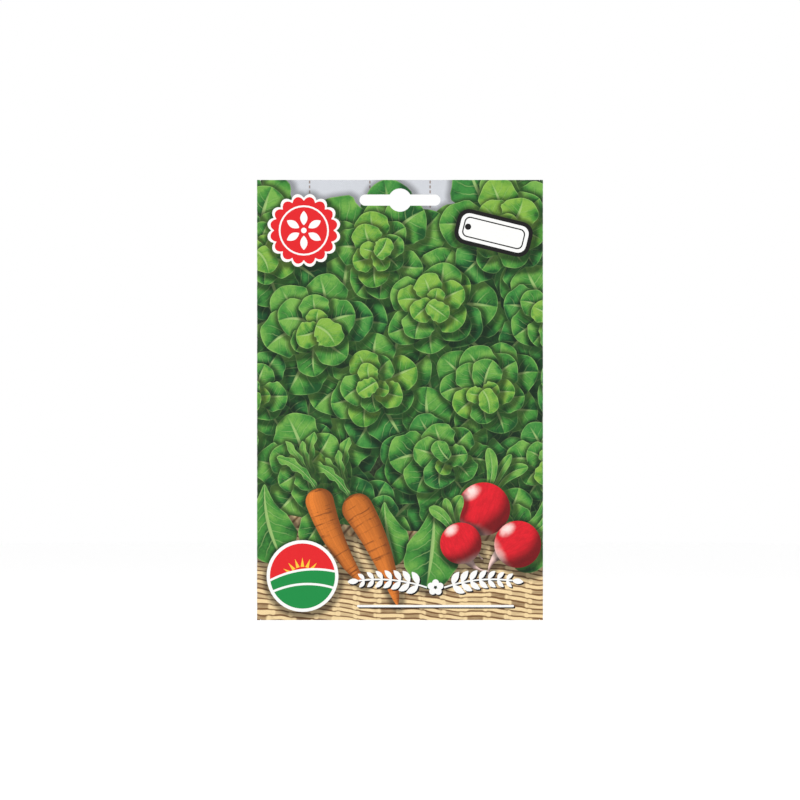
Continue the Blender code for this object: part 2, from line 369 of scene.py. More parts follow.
def print_grain_group():
    """The faint grain and uneven ink of an offset print, and bare paper where the folds wear."""
    tree, given, out = new_group(
        "print_grain",
        [("Ink", COLOUR), ("Grain", FLOAT, 0.08)],
        [("Color", COLOUR)],
    )
    place = tree.place()
    grain = tree.centred(tree.noise(place, 2400.0, 1.0))
    uneven = tree.centred(tree.noise(place, 90.0, 3.0))
    change = tree.add(1.0, tree.times(grain, given["Grain"], 3.0), tree.times(uneven, given["Grain"]))
    grained = tree.dimmed(given["Ink"], change)
    x, _, z = tree.apart(place)
    beside = tree.rise(tree.math("ABSOLUTE", x), (HALF_WIDTH - SIDE_WEAR) * MM, (HALF_WIDTH + BARE_AT) * MM)
    over = tree.rise(z, (TOP - END_WEAR) * MM, (TOP + BARE_AT) * MM)
    under = tree.rise(z, (BOTTOM + END_WEAR) * MM, (BOTTOM - BARE_AT) * MM)
    rim = tree.math("MAXIMUM", beside, tree.math("MAXIMUM", over, under))
    scuffs = tree.rise(tree.noise(place, 420.0, 3.0, 0.7), 0.42, 0.62)
    tree.feed(out["Color"], tree.mix(tree.times(rim, scuffs, 0.55), grained, on_paper(246, 246, 240)))
    return tree.tree


def leaf_print_group():
    """A printed leaf blade.

    Across runs from -1 to 1 between its margins, and Along from 0 at its foot to 1 at its tip.
    """
    tree, given, out = new_group(
        "leaf_print",
        [
            ("Across", FLOAT), ("Along", FLOAT), ("Tone", FLOAT), ("Edge", FLOAT), ("Shadow", FLOAT),
            ("Draw", FLOAT), ("Light", FLOAT), ("Age", FLOAT, 0.5),
            ("Shade", COLOUR), ("Green", COLOUR), ("Lit", COLOUR), ("Rib", COLOUR),
        ],
        [("Color", COLOUR)],
    )
    across, along, draw = given["Across"], given["Along"], given["Draw"]
    side = tree.math("ABSOLUTE", across)
    place = tree.place()
    local = tree.vector(across, tree.times(along, 2.4), tree.times(draw, 37.0))
    wander = tree.centred(tree.noise(local, 2.2, 2.0))

    phase = tree.add(tree.times(along, 8.0), tree.times(side, -1.9), tree.times(wander, 0.7), draw)
    stripe = tree.math("ABSOLUTE", tree.add(tree.times(tree.math("FRACT", phase), 2.0), -1.0))
    vein = tree.times(
        tree.rise(stripe, 0.80, 0.98), tree.rise(side, 1.0, 0.35), tree.rise(along, 0.97, 0.7), 0.42
    )
    pucker = tree.times(tree.rise(stripe, 1.0, 0.25), tree.rise(along, 0.1, 0.4))

    rib_width = tree.add(0.035, tree.times(tree.math("SUBTRACT", 1.0, along), 0.09))
    rib = tree.times(tree.rise(tree.math("DIVIDE", side, rib_width), 1.15, 0.55), tree.rise(along, 1.0, 0.72))
    groove = tree.times(
        tree.rise(tree.math("DIVIDE", side, rib_width), 3.4, 1.0), tree.rise(along, 0.95, 0.5)
    )

    blotch = tree.centred(tree.noise(local, 1.6, 3.0, 0.6))
    dimple = tree.centred(tree.noise(place, 420.0, 2.0, 0.6))
    fleck = tree.centred(tree.noise(place, 1700.0, 3.0, 0.75))
    level = tree.add(
        given["Tone"],
        tree.times(tree.centred(given["Light"]), 1.15),
        tree.times(pucker, 0.10),
        tree.times(blotch, 0.60),
        tree.times(dimple, 0.42),
        tree.times(fleck, 0.42),
        tree.times(groove, -0.12),
    )
    dim = tree.mix(tree.rise(level, 0.0, 0.5), given["Shade"], given["Green"])
    even = tree.mix(tree.rise(level, 0.45, 1.05), dim, given["Lit"])
    older = tree.mix(1.0, even, (0.80, 0.97, 1.10), "MULTIPLY")
    younger = tree.mix(1.0, even, (1.32, 1.10, 0.80), "MULTIPLY")
    blade = tree.mix(tree.rise(given["Age"], 0.0, 1.0), younger, older)
    veined = tree.mix(tree.math("MAXIMUM", vein, tree.times(rib, 0.75)), blade, given["Rib"])
    rim = tree.times(tree.rise(given["Edge"], 0.085, 0.02), 0.36, tree.rise(level, 0.0, 0.6, 0.45, 1.0))
    rimmed = tree.mix(rim, veined, given["Rib"])
    shade = tree.rise(given["Shadow"], 0.12, 0.50, 0.24, 1.0)
    tree.feed(out["Color"], tree.dimmed(rimmed, shade))
    return tree.tree


def straw_weave_group():
    """Plain basket weave: straw strands that pass over one upright stake and under the next."""
    tree, given, out = new_group(
        "straw_weave",
        [
            ("Strand", FLOAT, 0.0019), ("Stake", FLOAT, 0.0085), ("Shadow", FLOAT),
            ("Light", COLOUR), ("Dark", COLOUR),
        ],
        [("Color", COLOUR)],
    )
    place = tree.place()
    sway = tree.times(tree.centred(tree.noise(place, 60.0, 2.0)), 0.0042)
    x, _, z = tree.apart(place)
    row = tree.math("DIVIDE", tree.add(z, sway, tree.times(x, 0.10)), given["Strand"])
    row_number = tree.math("FLOOR", row)
    in_row = tree.math("FRACT", row)
    column = tree.add(tree.math("DIVIDE", tree.add(x, tree.times(sway, 0.8)), given["Stake"]), 40.0)
    rides = tree.math("SINE", tree.times(tree.add(column, row_number), math.pi))
    strand = tree.rise(tree.math("ABSOLUTE", tree.centred(in_row)), 0.50, 0.22)
    number = tree.vector(row_number, tree.math("FLOOR", tree.add(column, row_number)), 0.5)
    own = tree.node("ShaderNodeTexWhiteNoise", Vector=number).outputs[0]
    fibre_at = tree.vector(tree.times(x, 160.0), 0.0, tree.times(z, 2400.0))
    fibre = tree.noise(fibre_at, 1.0, 2.0)
    stake_at = tree.math("ABSOLUTE", tree.centred(tree.math("FRACT", column)))
    stake = tree.times(tree.rise(stake_at, 0.28, 0.40), tree.rise(rides, 0.25, -0.35))
    level = tree.add(
        tree.times(strand, tree.rise(rides, -0.9, 0.8, 0.46, 0.86)),
        tree.times(tree.centred(own), 0.28),
        tree.times(tree.centred(fibre), 0.45),
        tree.times(stake, 0.42),
    )
    straw = tree.mix(tree.rise(level, 0.05, 0.85), given["Dark"], given["Light"])
    shade = tree.rise(given["Shadow"], 0.12, 0.55, 0.30, 1.0)
    tree.feed(out["Color"], tree.dimmed(straw, shade))
    return tree.tree


def round_skin_group():
    """Smooth skin of a root, with its soft shade and highlight, rings across it and the shadow cast on it."""
    tree, given, out = new_group(
        "root_skin",
        [
            ("Across", FLOAT), ("Along", FLOAT), ("Light", FLOAT), ("Shadow", FLOAT), ("Draw", FLOAT),
            ("Skin", COLOUR), ("Pale", COLOUR, (*on_paper(250, 226, 216), 1.0)),
            ("Rings", FLOAT, 0.0), ("Gloss", FLOAT, 0.5),
        ],
        [("Color", COLOUR)],
    )
    place = tree.place()
    wander = tree.noise(place, 240.0, 2.0)
    rings = tree.noise(tree.vector(tree.times(given["Along"], 26.0), given["Draw"], wander), 1.4, 2.0)
    level = tree.add(given["Light"], tree.times(tree.rise(rings, 0.55, 0.72), given["Rings"], -0.35))
    lengthwise = tree.vector(tree.times(given["Across"], 5.0), tree.times(given["Along"], 1.6), given["Draw"])
    streak = tree.rise(tree.noise(lengthwise, 1.5, 3.0, 0.6), 0.3, 0.7, 0.86, 1.08)
    streaked = tree.dimmed(given["Skin"], streak)
    tail_end = tree.rise(tree.add(given["Along"], tree.times(wander, 0.3)), -0.42, -0.95)
    skin = tree.mix(tree.times(tail_end, 0.85), streaked, given["Pale"])
    shaded = tree.mix(tree.rise(level, 0.0, 0.60, 0.22, 1.0), (0.02, 0.0, 0.0), skin)
    broken = tree.rise(tree.noise(place, 330.0, 2.0), 0.25, 0.55, 0.55, 1.0)
    bright = tree.times(tree.rise(level, 0.90, 1.03), given["Gloss"], broken)
    lit = tree.mix(bright, shaded, (1.0, 0.93, 0.86))
    shade = tree.rise(given["Shadow"], 0.10, 0.42, 0.35, 1.0)
    tree.feed(out["Color"], tree.dimmed(lit, shade))
    return tree.tree


FLAT_INKS = ("seal_red", "sun", "hill_green", "white", "black", "cream", "pale_green")


class Inks:
    """The materials of the sheet, each made once: a printed colour on the same coated paper."""

    def __init__(self, colours, sheet):
        self.colours, self.sheet = colours, sheet
        self.paper, self.grain = paper_surface_group(), print_grain_group()
        self.leaf, self.weave, self.skin = leaf_print_group(), straw_weave_group(), round_skin_group()

    def material(self, name, grain=0.08):
        """A material on coated paper. Returns it, its tree and the socket that its ink goes to."""
        made, tree, shader = new_material(name)
        shader["Specular IOR Level"].default_value = 0.2
        surface = tree.node(
            "ShaderNodeGroup", {"node_tree": self.paper},
            Roughness=self.sheet.paper_roughness, Fibre_Height=self.sheet.fibre,
        )
        print_on = tree.node("ShaderNodeGroup", {"node_tree": self.grain}, Grain=grain)
        tree.feed(shader["Base Color"], print_on.outputs["Color"])
        tree.feed(shader["Roughness"], surface.outputs["Roughness"])
        tree.feed(shader["Normal"], surface.outputs["Normal"])
        return made, tree, print_on.inputs["Ink"]

    def motif_values(self, tree):
        """The values that the mesh holds for the motif at each place of the print."""
        across, along, _ = tree.apart(tree.node("ShaderNodeUVMap", {"uv_map": "motif"}).outputs[0])
        marks = tree.node("ShaderNodeAttribute", {"attribute_name": "marks"})
        tone, edge, shadow = tree.node("ShaderNodeSeparateColor", Color=marks.outputs["Color"]).outputs
        light = tree.node("ShaderNodeAttribute", {"attribute_name": "light"}).outputs["Fac"]
        return {
            "Across": across, "Along": along, "Tone": tone, "Edge": edge, "Shadow": shadow,
            "Draw": marks.outputs["Alpha"], "Light": light,
        }

    def patterned(self, name, group, grain=0.08, **values):
        """A material whose ink comes from a pattern group, fed with these values and the motif's own."""
        made, tree, ink = self.material(name, grain)
        pattern = tree.node("ShaderNodeGroup", {"node_tree": group})
        for label, value in {**self.motif_values(tree), **values}.items():
            if label in pattern.inputs:
                tree.feed(pattern.inputs[label], value)
        tree.feed(ink, pattern.outputs["Color"])
        return made

    def leaf_ink(self, name, age):
        c = self.colours
        return self.patterned(
            name, self.leaf, Age=age,
            Shade=c.leaf_dark[:], Green=c.leaf_mid[:], Lit=c.leaf_light[:], Rib=c.leaf_rib[:],
        )

    def straw_ink(self):
        c = self.colours
        return self.patterned("straw_ink", self.weave, Light=c.straw_light[:], Dark=c.straw_dark[:])

    def radish_ink(self):
        return self.patterned("radish_ink", self.skin, Skin=self.colours.radish[:], Rings=0.0, Gloss=0.85)

    def carrot_ink(self):
        return self.patterned("carrot_ink", self.skin, Skin=self.colours.carrot[:], Rings=0.8, Gloss=0.35)

    def rope_ink(self):
        """The mat's rolled border, wrapped with slanting straw."""
        c = self.colours
        made, tree, ink = self.material("rope_ink")
        given = self.motif_values(tree)
        slant = tree.add(tree.times(given["Along"], 34.0), tree.times(given["Across"], 0.45))
        twist = tree.math("FRACT", slant)
        strand = tree.rise(tree.math("ABSOLUTE", tree.centred(twist)), 0.5, 0.2)
        level = tree.times(strand, tree.rise(given["Light"], 0.1, 0.9, 0.35, 1.0))
        straw = tree.mix(level, c.straw_dark[:], c.straw_light[:])
        shade = tree.rise(given["Shadow"], 0.12, 0.5, 0.3, 1.0)
        tree.feed(ink, tree.dimmed(straw, shade))
        return made

    def soil_ink(self):
        made, tree, ink = self.material("soil_ink")
        clods = tree.rise(tree.noise(tree.place(), 700.0, 4.0, 0.7), 0.35, 0.7)
        lit = [3.2 * value for value in self.colours.soil]
        tree.feed(ink, tree.mix(clods, self.colours.soil[:], lit))
        return made

    def linen_ink(self):
        """Pale cloth with a fine plain weave."""
        made, tree, ink = self.material("linen_ink", 0.05)
        given = self.motif_values(tree)
        x, _, z = tree.apart(tree.place())
        threads = tree.times(
            tree.math("SINE", tree.times(x, 7000.0)), tree.math("SINE", tree.times(z, 7000.0)), 0.04
        )
        in_square = tree.math("ABSOLUTE", tree.centred(tree.math("FRACT", tree.times(x, 42.0))))
        dash = tree.rise(tree.math("FRACT", tree.times(z, 520.0)), 0.35, 0.45)
        stitch = tree.times(tree.rise(in_square, 0.016, 0.008), dash, 0.7)
        cloth = tree.mix(stitch, self.colours.linen[:], self.colours.straw_dark[:])
        shade = tree.add(tree.rise(given["Shadow"], 0.1, 0.6, 0.45, 1.0), threads)
        tree.feed(ink, tree.dimmed(cloth, shade))
        return made

    def flat_ink(self, name, colour):
        made, tree, ink = self.material(name, 0.03)
        tree.feed(ink, colour)
        return made

    def bare_paper(self):
        """The sheet's uncoated inner side and its cut edges: white board with a faint cloud of fibres."""
        made, tree, ink = self.material("bare_paper", 0.06)
        cloud = tree.rise(tree.noise(tree.place(), 320.0, 4.0, 0.65), 0.3, 0.75)
        tree.feed(ink, tree.mix(cloud, on_paper(228, 226, 216), on_paper(250, 249, 243)))
        return made

    def all(self):
        """Every ink by name, in the order of the sheet's material slots."""
        made = {
            "leaf": self.leaf_ink("leaf_ink", 0.55),
            "young_leaf": self.leaf_ink("young_leaf_ink", 0.1),
            "old_leaf": self.leaf_ink("old_leaf_ink", 0.95),
            "soil": self.soil_ink(),
            "linen": self.linen_ink(),
            "straw": self.straw_ink(),
            "rope": self.rope_ink(),
            "radish": self.radish_ink(),
            "carrot": self.carrot_ink(),
            "bare": self.bare_paper(),
        }
        for name in FLAT_INKS:
            made[name] = self.flat_ink(name + "_ink", getattr(self.colours, name)[:])
        return made


def closed(outline):
    """The outline's points, with the first again at the end."""
    return np.vstack((outline, outline[:1]))


def within(points, outline):
    """Which points lie inside the closed outline."""
    x, y = points[:, :1], points[:, 1:]
    x1, y1 = outline.T
    x2, y2 = np.roll(outline, -1, axis=0).T
    rise = np.where(y2 == y1, 1e-12, y2 - y1)
    crosses = ((y1 > y) != (y2 > y)) & (x < (x2 - x1) * (y - y1) / rise + x1)
    return crosses.sum(1) % 2 == 1


def nearest_on(points, line):
    """For each point: its distance to the open line, the nearest place in steps along it, and the side."""
    start, step = line[:-1], np.diff(line, axis=0)
    off = points[:, None] - start
    share = ((off * step).sum(2) / np.maximum((step**2).sum(1), 1e-12)).clip(0, 1)
    apart = off - share[:, :, None] * step
    gaps = np.sqrt((apart**2).sum(2))
    index = gaps.argmin(1)
    rows = np.arange(len(points))
    side = np.sign(off[rows, index, 0] * step[index, 1] - off[rows, index, 1] * step[index, 0])
    return gaps[rows, index], index + share[rows, index], side


def distance_to(points, outline):
    return nearest_on(points, closed(outline))[0]


def lit_by(slope_x, slope_z):
    """Brightness of a printed surface with these slopes, 0.5 where it is level."""
    size = np.sqrt(slope_x**2 + slope_z**2 + 1)
    level = (-slope_x * PRINT_LIGHT[0] - slope_z * PRINT_LIGHT[1] + PRINT_LIGHT[2]) / size
    return (0.5 + (level - PRINT_LIGHT[2]) * 0.9).clip(0, 1)


class Motif:
    """A printed shape on the flat sheet, in millimetres, and the ink that prints it."""

    def __init__(self, ink, outline, tone=0.5, draw=0.5, casts=True):
        self.ink, self.tone, self.draw, self.casts = ink, tone, draw, casts
        self.outline = np.asarray(outline, float)
        self.low, self.high = self.outline.min(0), self.outline.max(0)

    def lines(self):
        """The lines that the mesh has to follow."""
        return [closed(self.outline)]

    def place(self, points, middles):
        """Across and along the motif, and the picture's light, at each corner of a face with this middle."""
        middle = (self.low + self.high) / 2
        local = (points - middle) / np.maximum((self.high - self.low) / 2, 1e-9)
        return local[:, 0], local[:, 1], np.full(len(points), 0.5)


# How far the ripples of a leaf's two margins are out of step, in radians
OUT_OF_STEP = 2.1


class Blade(Motif):
    """A motif along a curved spine, such as a leaf or a root. Its profile gives its width at each share."""

    def __init__(self, ink, spine, half_width, profile, ripple=0.0, samples=16, **more):
        spine = np.asarray(spine, float)
        self.half_width, self.profile, self.samples = half_width, profile, samples
        self.shares = (1 - np.cos(np.linspace(0, math.pi, samples + 1))) / 2
        index = self.shares * (len(spine) - 1)
        self.line = np.stack([np.interp(index, np.arange(len(spine)), axis) for axis in spine.T], 1)
        run = np.gradient(self.line, axis=0)
        self.run = run / np.linalg.norm(run, axis=1)[:, None]
        self.side = np.stack((self.run[:, 1], -self.run[:, 0]), 1)
        widths = half_width * profile(self.shares)
        phase = 2 * math.pi * more.get("draw", 0.5)
        waves = [1 + ripple * np.sin(self.shares * 21 + phase + turn) for turn in (0, OUT_OF_STEP)]
        right = self.line + self.side * (widths * waves[0])[:, None]
        left = self.line - self.side * (widths * waves[1])[:, None]
        super().__init__(ink, np.vstack((right, left[::-1])), **more)

    def lines(self):
        return super().lines() + [self.line[1:-1]]

    def place(self, points, middles):
        gap, at, _ = nearest_on(points, self.line)
        _, _, side = nearest_on(middles, self.line)
        along = np.interp(at, np.arange(len(self.shares)), self.shares)
        across = side * gap / (self.half_width * self.profile(along) + 0.25)
        return across.clip(-1.2, 1.2), along, self.light(across, along)

    def axes(self, along):
        index = np.searchsorted(self.shares, along).clip(0, self.samples)
        return self.side[index], self.run[index]

    def slopes_lit(self, across_slope, along_slope, along):
        side, run = self.axes(along)
        slope = side * across_slope[:, None] + run * along_slope[:, None]
        return lit_by(slope[:, 0], slope[:, 1])

    def light(self, across, along):
        """Light on a leaf: each half arches up from the midrib and turns down at its rippled margin."""
        width = np.abs(across).clip(0, 1)
        phase = 2 * math.pi * self.draw
        wave = along * 17 + phase + np.where(across > 0, 0, OUT_OF_STEP)
        across_slope = np.sign(across) * (0.75 - 1.35 * width + 0.7 * width * np.sin(wave))
        along_slope = 0.55 - 0.95 * along + 0.6 * width**2 * np.cos(wave)
        return self.slopes_lit(across_slope, along_slope, along)


class Root(Blade):
    """A long round root, lit as a cylinder."""

    def light(self, across, along):
        lean = across.clip(-0.95, 0.95)
        return self.slopes_lit(-lean / np.sqrt(1 - lean**2), -0.25 + 0 * along, along)


class Tail(Root):
    """The thin end of a round root. Along goes on from -1, where the root's own ends, to -2 at the tip."""

    def place(self, points, middles):
        across, along, light = super().place(points, middles)
        return across, -1 - along, light


class Ball(Motif):
    """A round root, lit as a ball. Along runs from -1 at its tail to 1 at its crown."""

    def __init__(self, ink, centre, radius, heading, **more):
        self.centre, self.radius = np.array(centre, float), radius
        self.ahead = np.array((math.cos(heading), math.sin(heading)))
        super().__init__(ink, ring(centre, radius, 36), **more)

    def place(self, points, middles):
        local = (points - self.centre) / self.radius
        inner = local * 0.93
        depth = np.sqrt((1 - (inner**2).sum(1)).clip(0.02, 1))
        light = inner[:, 0] * PRINT_LIGHT[0] + inner[:, 1] * PRINT_LIGHT[1] + depth * PRINT_LIGHT[2]
        across = local @ (self.ahead[1], -self.ahead[0])
        return across, local @ self.ahead, light.clip(0, 1)


def stamp(ink, outline):
    """A motif that casts no shadow."""
    return Motif(ink, outline, casts=False)


def block(x0, z0, x1, z1):
    """Outline of an upright rectangle."""
    return [(x0, z0), (x1, z0), (x1, z1), (x0, z1)]


def polar(x, z, reach, angle):
    """The point at this reach and angle from (x, z)."""
    return x + reach * math.cos(angle), z + reach * math.sin(angle)


def ring(centre, radius, count, start=0.0):
    turns = start + 2 * math.pi * np.arange(count) / count
    return np.stack((centre[0] + radius * np.cos(turns), centre[1] + radius * np.sin(turns)), 1)


def turned(points, angle, centre=(0, 0)):
    """Points turned about the origin by the angle in radians, then moved to centre."""
    c, s = math.cos(angle), math.sin(angle)
    points = np.asarray(points, float)
    return np.stack((points[:, 0] * c - points[:, 1] * s, points[:, 0] * s + points[:, 1] * c), 1) + centre


def bow(start, end, bend, count=16):
    """A curve from start to end that bows to its right by bend times its length."""
    start, end = np.array(start, float), np.array(end, float)
    run = end - start
    middle = (start + end) / 2 + np.array((run[1], -run[0])) * bend * 2
    t = np.linspace(0, 1, count + 1)[:, None]
    return (1 - t) ** 2 * start + 2 * t * (1 - t) * middle + t**2 * end


def spoon_profile(foot, widest, point):
    """Widths of a leaf blade: a narrow foot, the widest place, and a tip from round (0.5) to sharp (1)."""
    def profile(along):
        rise = (along / widest).clip(0, 1)
        fall = ((along - widest) / (1 - widest)).clip(0, 1)
        base = foot + (1 - foot) * rise * rise * (3 - 2 * rise)
        start = (along / 0.12).clip(0, 1)
        base = base * np.sqrt(start * (2 - start))
        return np.where(along < widest, base, (1 - fall**2).clip(0, 1) ** point)
    return profile


def lens_profile(along):
    return np.sin(math.pi * along.clip(0, 1)) ** 0.8


def lens_leaf(ink, foot, tip, bend, half_width, samples=8, casts=False):
    """A small leaf that is pointed at both ends."""
    return Blade(ink, bow(foot, tip, bend, 8), half_width, lens_profile, samples=samples, casts=casts)


def carrot_profile(along):
    shoulder = (along / 0.13).clip(0, 1)
    return np.sqrt(shoulder * (2 - shoulder)) * (1 - along.clip(0, 1)) ** 0.55


def tail_profile(along):
    return 0.10 + 0.90 * (1 - along.clip(0, 1)) ** 2.4


def even_profile(along):
    return np.ones_like(along)


def rounded_box(width, height, radius, steps=5):
    """Outline of a box with round corners, centred on the origin."""
    points = []
    for corner in range(4):
        at_x = (width / 2 - radius) * (1 if corner in (0, 3) else -1)
        at_y = (height / 2 - radius) * (1 if corner in (0, 1) else -1)
        for step in range(steps + 1):
            turn = (corner + step / steps) * math.pi / 2
            points.append((at_x + radius * math.cos(turn), at_y + radius * math.sin(turn)))
    return np.array(points)


def scallops(centre, radius, count, depth, steps=7):
    """A round seal whose rim is a row of scallops."""
    turns = 2 * math.pi * np.arange(count * steps) / (count * steps)
    reach = radius - depth + depth * np.abs(np.sin(turns * count / 2)) ** 0.8
    return np.stack((centre[0] + reach * np.cos(turns), centre[1] + reach * np.sin(turns)), 1)


# Rings of a rosette: reach as a share of its radius, leaves, half width as a share of length, width of the
# leaf's foot as a share of its widest place, and change of tone
ROSETTE_RINGS = (
    (1.0, 7, 0.36, 0.16, -0.14),
    (0.80, 6, 0.38, 0.20, -0.04),
    (0.60, 6, 0.41, 0.32, 0.06),
    (0.42, 5, 0.46, 0.50, 0.16),
    (0.25, 3, 0.54, 0.72, 0.26),
)

# How the rosettes are set out, the height above which they grow lighter, in millimetres, and their tone
ROW_STEP = 29.0
COLUMN_STEP = 46.0
FIRST_ROW = -15.0
TOP_SLANT = 0.11
ROWS = 5
LIGHT_ABOVE = -18.0
ROSETTE_TONE = 0.44


def rosettes(radius, draw):
    """The leaves of all rosettes, ring by ring, so that every heart lies over its neighbours' outer rings."""
    centres = []
    for row in range(ROWS):
        for column in range(-2, 3):
            x = COLUMN_STEP * (column + 0.5 * (row % 2)) - 9 + draw.uniform(-5, 5)
            z = FIRST_ROW - ROW_STEP * row + draw.uniform(-4, 4)
            z -= TOP_SLANT * max(0.0, 30 - x) / (1 + row)
            centres.append((x, z, draw.uniform(0.88, 1.12), draw.uniform(0, 6.3), draw.uniform(-0.12, 0.12)))
    leaves = []
    for reach, count, width, foot, lift in ROSETTE_RINGS:
        for x, z, size, spin, shift in draw.sample(centres, len(centres)):
            for number in range(count):
                turn = spin + reach * 9 + 2 * math.pi * number / count
                tone = ROSETTE_TONE + lift + shift
                leaves.append(rosette_leaf(x, z, radius * size * reach, turn, width, foot, tone, draw))
    return leaves


def rosette_leaf(x, z, length, turn, width, foot, tone, draw):
    angle = turn + draw.uniform(-0.3, 0.3)
    length = length * draw.uniform(0.84, 1.10)
    start, end = polar(x, z, 0.8 - 3.0 * foot, angle), polar(x, z, length, angle)
    high = min(1.0, max(0.0, (end[1] - LIGHT_ABOVE + 26) / 40))
    tone = tone + 0.20 * high + draw.uniform(-0.12, 0.12)
    ink = "young_leaf" if tone > 0.66 else "old_leaf" if tone < 0.42 else "leaf"
    return Blade(
        ink, bow(start, end, draw.uniform(-0.13, 0.13)), length * width * draw.uniform(0.86, 1.1),
        spoon_profile(foot, draw.uniform(0.60, 0.68), draw.uniform(0.50, 0.62)), samples=20,
        ripple=draw.uniform(0.03, 0.09), tone=tone, draw=draw.random(),
    )


# Heights of the mat's upper edge at the two sides, and its sag
MAT_LEFT = -124.0
MAT_RIGHT = -131.0
MAT_SAG = 5.0


def mat_edge(x):
    """Height of the straw mat's upper edge, which sags between its ends."""
    share = (x + HALF_WIDTH) / (2 * HALF_WIDTH)
    return MAT_LEFT + (MAT_RIGHT - MAT_LEFT) * share - MAT_SAG * math.sin(math.pi * share)


def straw_mat():
    across = np.linspace(-HALF_WIDTH - 3, HALF_WIDTH + 3, 24)
    edge = [(x, mat_edge(x)) for x in across]
    below = [(HALF_WIDTH + 3, BOTTOM - 4), (-HALF_WIDTH - 3, BOTTOM - 4)]
    return [
        Motif("straw", edge + below),
        Root("rope", edge, 2.1, even_profile, samples=46, tone=0.6),
    ]


# Place across, length and lean of each leaf that hangs over the mat
FALLEN_LEAVES = ((-50, 25, 0.25), (-33, 17, -0.3), (-4, 20, 0.15), (12, 27, -0.1), (52, 22, -0.35))


def fallen_leaves(draw):
    """Loose leaves that hang over the mat's border."""
    leaves = []
    for x, reach, lean in FALLEN_LEAVES:
        start = np.array((x - lean * 14, mat_edge(x) + 13))
        end = np.array((x + lean * 18, mat_edge(x) + 13 - reach * 1.25))
        leaves.append(
            Blade("leaf", bow(start, end, lean * 0.3), reach * 0.40, spoon_profile(0.12, 0.62, 0.6),
                  ripple=0.05, tone=0.50 + draw.uniform(-0.08, 0.1), draw=draw.random())
        )
    return leaves


# Place, radius and lean of each radish, and how far its tail reaches, in radii
RADISHES = ((33, -122, 10.5, 1.2), (46.5, -136, 9.3, 0.5), (24, -135.5, 8.2, 2.0))
TAIL_REACH = 1.9

# Top, tip, half width and bend of each carrot
CARROTS = (((-20, -117), (-1, -160), 6.6, -0.05), ((-33, -114), (-14, -152), 6.0, 0.06))


def radish(x, z, radius, lean):
    """One radish: a bundle of stems behind the root, and its thin tail."""
    stems = []
    for turn in (-0.45, -0.1, 0.3):
        start, end = (polar(x, z, reach * radius, lean + turn) for reach in (0.5, 2.3))
        stems.append(
            Blade("leaf", bow(start, end, turn * 0.4), 1.7 + 2.2 * abs(turn), spoon_profile(0.42, 0.75, 0.6),
                  tone=0.75, draw=0.3 + turn / 2)
        )
    tip = polar(x, z, -TAIL_REACH * radius, lean + 0.35)
    tail_start = polar(x, z, -0.9 * radius, lean)
    tail = Tail("radish", bow(tail_start, tip, 0.14), 0.26 * radius, tail_profile, samples=12, draw=0.2)
    return stems + [tail, Ball("radish", (x, z), radius, lean, draw=0.7)]


def carrot(top, tip, half_width, bend, draw):
    """One carrot: its feathered stems, then the root."""
    top, tip = np.array(top, float), np.array(tip, float)
    run = (tip - top) / np.linalg.norm(tip - top)
    side = np.array((run[1], -run[0]))
    parts = []
    for spread in (-0.55, -0.2, 0.15, 0.5):
        end = top - run * draw.uniform(17, 23) + side * spread * 17
        parts.append(
            Blade("leaf", bow(top, end, spread * 0.2), 1.1 + 1.6 * abs(spread),
                  spoon_profile(0.55, 0.8, 0.7), ripple=0.35, tone=0.7, draw=draw.random())
        )
    root = Root("carrot", bow(top, tip, bend), half_width, carrot_profile, samples=30, draw=draw.random())
    return parts + [root]


def sprig(centre, length, angle, ink, pairs=7, leaf=5.6, bend=0.10):
    """A curved twig with a pair of leaflets at each step and one at its tip."""
    stem = bow(centre, polar(*centre, length, angle), bend)
    parts = [Blade(ink, stem, 0.32, even_profile, samples=10, casts=False)]
    for step in range(1, pairs + 1):
        index = step / (pairs + 0.6) * (len(stem) - 1)
        at = np.array([np.interp(index, np.arange(len(stem)), axis) for axis in stem.T])
        ahead = stem[min(len(stem) - 1, int(index) + 1)] - stem[int(index)]
        heading = math.atan2(ahead[1], ahead[0])
        size = leaf * (1.08 - 0.45 * step / pairs)
        for turn in (-0.85, 0.85):
            parts.append(lens_leaf(ink, at, polar(*at, size, heading + turn), -0.1 * turn, size * 0.23))
    tip = stem[-1] + leaf * 0.8 * (stem[-1] - stem[-2]) / np.linalg.norm(stem[-1] - stem[-2])
    return parts + [lens_leaf(ink, stem[-1], tip, 0.0, leaf * 0.2)]


def moved(parts, shift, ink):
    """The same shapes, moved and in one ink, for a drop shadow."""
    return [stamp(ink, part.outline + shift) for part in parts]


# The garland's place, and how far off its drop shadow lies
GARLAND = (14.0, -153.0)
SHADOW_OFF = np.array((0.55, -0.55))


def garland(centre, ink="white", shadow="black"):
    """Two sprigs that leave a small flower in the middle, over a thin rule."""
    x, z = centre
    parts = sprig((x + 3.4, z), 27, 0.10, ink, bend=-0.06)
    parts += sprig((x - 3.4, z), 27, math.pi - 0.10, ink, bend=0.06)
    petals = np.arange(5) * 2 * math.pi / 5 + 0.3
    parts += [stamp(ink, ring(polar(x, z, 1.9, angle), 1.35, 12)) for angle in petals]
    parts.append(stamp(ink, turned(rounded_box(62, 0.9, 0.4, 2), 0, (x, z - 7.4))))
    return (moved(parts, SHADOW_OFF, shadow) if shadow else []) + parts


# Centre and radius of the seal, the number and depth of its scallops, and its inner circle as a share
SEAL = (-38.0, -12.0)
SEAL_RADIUS = 14.6
SCALLOPS = 16
SCALLOP_DEPTH = 1.7
SEAL_CIRCLE = 0.68


